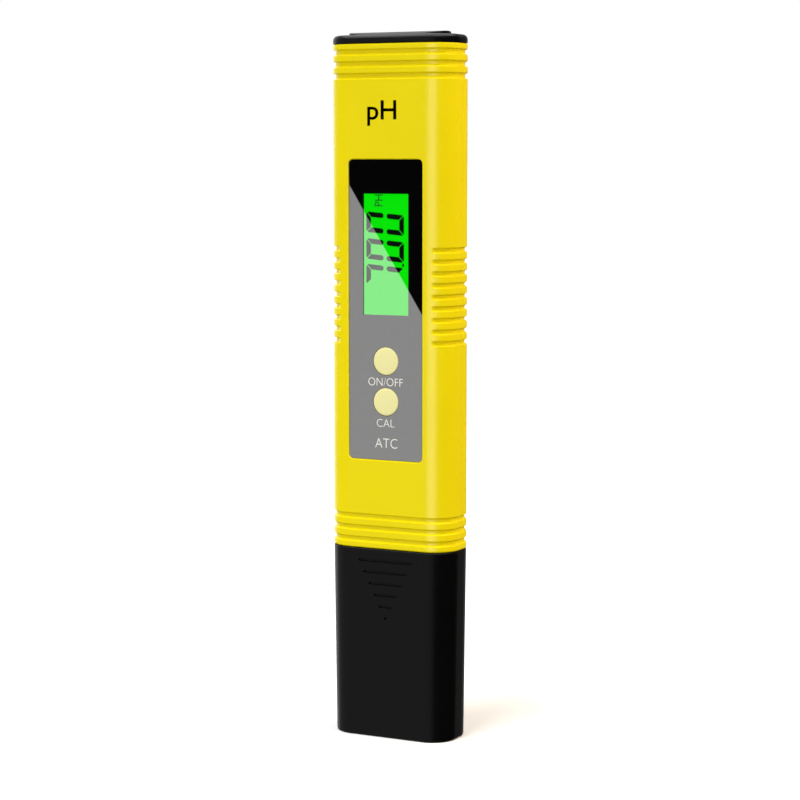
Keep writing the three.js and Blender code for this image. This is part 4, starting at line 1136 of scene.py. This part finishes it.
def reference_junction():
    low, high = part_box("reference_junction")
    radius = (high.x - low.x) / 2
    edge = 0.15 * MM
    profile = arc((radius - edge, low.z + edge), edge, -90, 0, 3)
    profile += arc((radius - edge, high.z - edge), edge, 0, 90, 3)
    place = Matrix.Translation(((low.x + high.x) / 2, 0, 0))
    piece = turned("junction_pin", profile, place, 32)
    return finish_piece(settle_shading(piece), "pen", "ceramic", ["reference_junction"])


# ---------------- carried over pieces

CARRIED_OVER = {
    "inner_black": ["battery_well", "power_switch_plunger", "calibrate_switch_plunger"],
    "white": ["lcd_frame", "backlight_led_1", "backlight_led_2"],
    "diffuser": ["light_guide"],
    "rubber": ["zebra_strip", "button_gasket"],
    "board": ["circuit_board"],
    "chip": ["controller_chip", "amplifier_chip"],
    "steel": [
        "clock_crystal", "power_switch_body", "calibrate_switch_body",
        "board_screw_1", "board_screw_2", "board_screw_3", "board_screw_4",
    ],
    "bronze": ["contact_left", "contact_right"],
    "silver": ["inner_electrode", "reference_electrode"],
    "resin": ["electrode_plug"],
    "white_wire": ["electrode_lead"],
    "black_wire": ["reference_lead"],
    "red_wire": ["thermistor_lead"],
}


def dress_carried_over():
    for key, names in CARRIED_OVER.items():
        for name in names:
            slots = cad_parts[name].material_slots
            for slot in slots:
                slot.material = MATERIALS[key]


# ---------------- studio

CAMERA_AZIMUTH = 27.0
CAMERA_ELEVATION = 6.06
CAMERA_DISTANCE = 0.6161
CAMERA_LENS = 103.65
AIM = Vector((0, 0, 0.09045))
FLOOR_REACH = 30.0
SUN_DISTANCE = 1.0  # a sun shines the same from anywhere
WORLD_FILL = (0.3, 0.71)  # brightness from straight below to straight above
WORLD_GLOSS = (0.0, 0.22)  # brightness from the right to the left


def direction(azimuth, elevation):
    """Unit vector towards a place round the object; azimuth 0 is the front and 90 the right."""
    a, e = math.radians(azimuth), math.radians(elevation)
    return Vector((math.sin(a) * math.cos(e), -math.cos(a) * math.cos(e), math.sin(e)))


def add_facing(name, data, azimuth, elevation, distance):
    """Adds a camera or a light at a distance from the object, facing it."""
    away = direction(azimuth, elevation)
    thing = bpy.data.objects.new(name, data)
    thing.location = AIM + away * distance
    thing.rotation_mode = "QUATERNION"
    thing.rotation_quaternion = (-away).to_track_quat("-Z", "Y")
    bpy.context.scene.collection.objects.link(thing)
    return thing


def add_camera():
    data = bpy.data.cameras.new("camera")
    data.lens = CAMERA_LENS
    data.clip_start = 0.01
    camera = add_facing("camera", data, CAMERA_AZIMUTH, CAMERA_ELEVATION, CAMERA_DISTANCE)
    bpy.context.scene.camera = camera


def add_softbox(name, azimuth, elevation, distance, size, power, colour=(1, 1, 1), shade=True, glossy=False):
    """A rectangular light that faces the object, and either shades it or shows in its gloss."""
    data = bpy.data.lights.new(name, "AREA")
    data.shape = "RECTANGLE"
    data.size, data.size_y = size
    data.energy = power
    data.color = colour
    light = add_facing(name, data, azimuth, elevation, distance)
    light.visible_camera = False
    light.visible_diffuse = shade
    light.visible_glossy = glossy
    return light


def keep_to(light, pieces):
    """Lets a light reach these pieces only, past all others."""
    group = bpy.data.collections.new(light.name)
    for piece in pieces:
        group.objects.link(piece)
    light.light_linking.receiver_collection = group
    light.light_linking.blocker_collection = group


def add_world():
    """White surroundings. They light the object more from above, and show in its gloss on the left only."""
    world = bpy.data.worlds.new("studio")
    bpy.context.scene.world = world
    world.use_nodes = True
    world.cycles.sampling_method = "NONE"
    tree = world.node_tree
    links = tree.links
    tree.nodes.clear()
    place = add_node(tree, "TexCoord")
    parts = add_node(tree, "SeparateXYZ")
    links.new(place.outputs["Generated"], parts.inputs["Vector"])

    def background(axis, start, end, low, high):
        """A grey sky that changes along one axis, from low at start to high at end."""
        share = add_node(tree, "MapRange", From_Min=start, From_Max=end, To_Min=low, To_Max=high)
        links.new(parts.outputs[axis], share.inputs["Value"])
        shader = add_node(tree, "Background")
        links.new(share.outputs["Result"], shader.inputs["Color"])
        return shader.outputs["Background"]

    def choose(ray, otherwise, shader):
        mix = add_node(tree, "MixShader")
        links.new(rays.outputs[ray], mix.inputs["Fac"])
        links.new(otherwise, mix.inputs[1])
        links.new(shader, mix.inputs[2])
        return mix.outputs["Shader"]

    rays = add_node(tree, "LightPath")
    white = add_node(tree, "Background", Color=(1, 1, 1, 1))
    fill = background("Z", -1.0, 1.0, *WORLD_FILL)
    gloss = background("X", 0.42, 0.3, *WORLD_GLOSS)
    lit = choose("Is Glossy Ray", fill, gloss)
    output = add_node(tree, "OutputWorld")
    links.new(choose("Is Camera Ray", lit, white.outputs["Background"]), output.inputs["Surface"])


def add_floor():
    """Large sheet of white paper under the cap, kept out of the object's gloss and shade."""
    corners = [
        Vector((x * FLOOR_REACH, y * FLOOR_REACH, cad_low.z))
        for x, y in ((-1, -1), (1, -1), (1, 1), (-1, 1))
    ]
    floor = add_object("floor", mesh_from("floor", corners, [(0, 1, 2, 3)]))
    material, tree, shader = new_material("floor_paper")
    paper = ramp(tree, noise(tree, 0.02, 2.0), [(0.3, (0.92, 0.92, 0.92)), (0.7, (0.94, 0.94, 0.94))])
    tree.links.new(paper, shader.inputs["Base Color"])
    set_inputs(shader, Roughness=0.9, Specular_IOR_Level=0.0)
    floor.data.materials.append(material)
    floor.visible_glossy = False
    floor.visible_diffuse = False
    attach(floor, "cap")


def add_sun(azimuth, elevation, strength, angle):
    """Even light from above, soft enough for a faint shadow."""
    data = bpy.data.lights.new("sky_panel", "SUN")
    data.energy = strength
    data.angle = math.radians(angle)
    light = add_facing("sky_panel", data, azimuth, elevation, SUN_DISTANCE)
    light.visible_glossy = False


def add_studio(shells):
    add_world()
    add_floor()
    add_sun(-20, 66, 1.95, 25)
    add_softbox("front", -15, -10, 0.45, (0.4, 0.4), 0.8)
    add_softbox("right", 105, 38, 1.0, (0.8, 1.0), 9.8, colour=(1.0, 0.81, 0.6))
    corner = add_softbox("corner_gloss", 14, 0, 1.2, (0.75, 1.0), 56, shade=False, glossy=True)
    keep_to(corner, shells)
    edge = add_softbox("shell_edge_gloss", -120, 6, 1.2, (1.4, 1.2), 10, shade=False, glossy=True)
    keep_to(edge, shells)
    add_softbox("edge_gloss", -125, 6, 1.2, (1.28, 1.2), 2.7, shade=False, glossy=True)
    add_softbox("top_gloss", 0, 90, 1.0, (1.6, 1.6), 17, shade=False, glossy=True)
    bpy.context.scene.view_settings.view_transform = "Standard"
    add_camera()


def build_object():
    """Every piece, in order from the top of the meter to its foot; returns the two shells."""
    shells = [front_shell(), rear_shell()]
    top_bezel()
    battery_drawer()
    seal_ring("drawer_seal", "battery_seal", DRAWER_SECTION, 0.15 * MM, "drawer")
    for index in range(1, 5):
        button_cell(index)
    display_panel()
    window_lens()
    lcd()
    display_segments()
    all_lettering()
    button("power", "power_key")
    button("calibrate", "calibrate_key")
    storage_cap()
    cap_sponge()
    electrode_holder()
    seal_ring("spigot_seal", "holder_seal", SPIGOT_SECTION, 0.25 * MM, "pen")
    electrode_sleeve()
    glass_electrode()
    temperature_probe()
    reference_junction()
    dress_carried_over()
    return shells


add_studio(build_object())
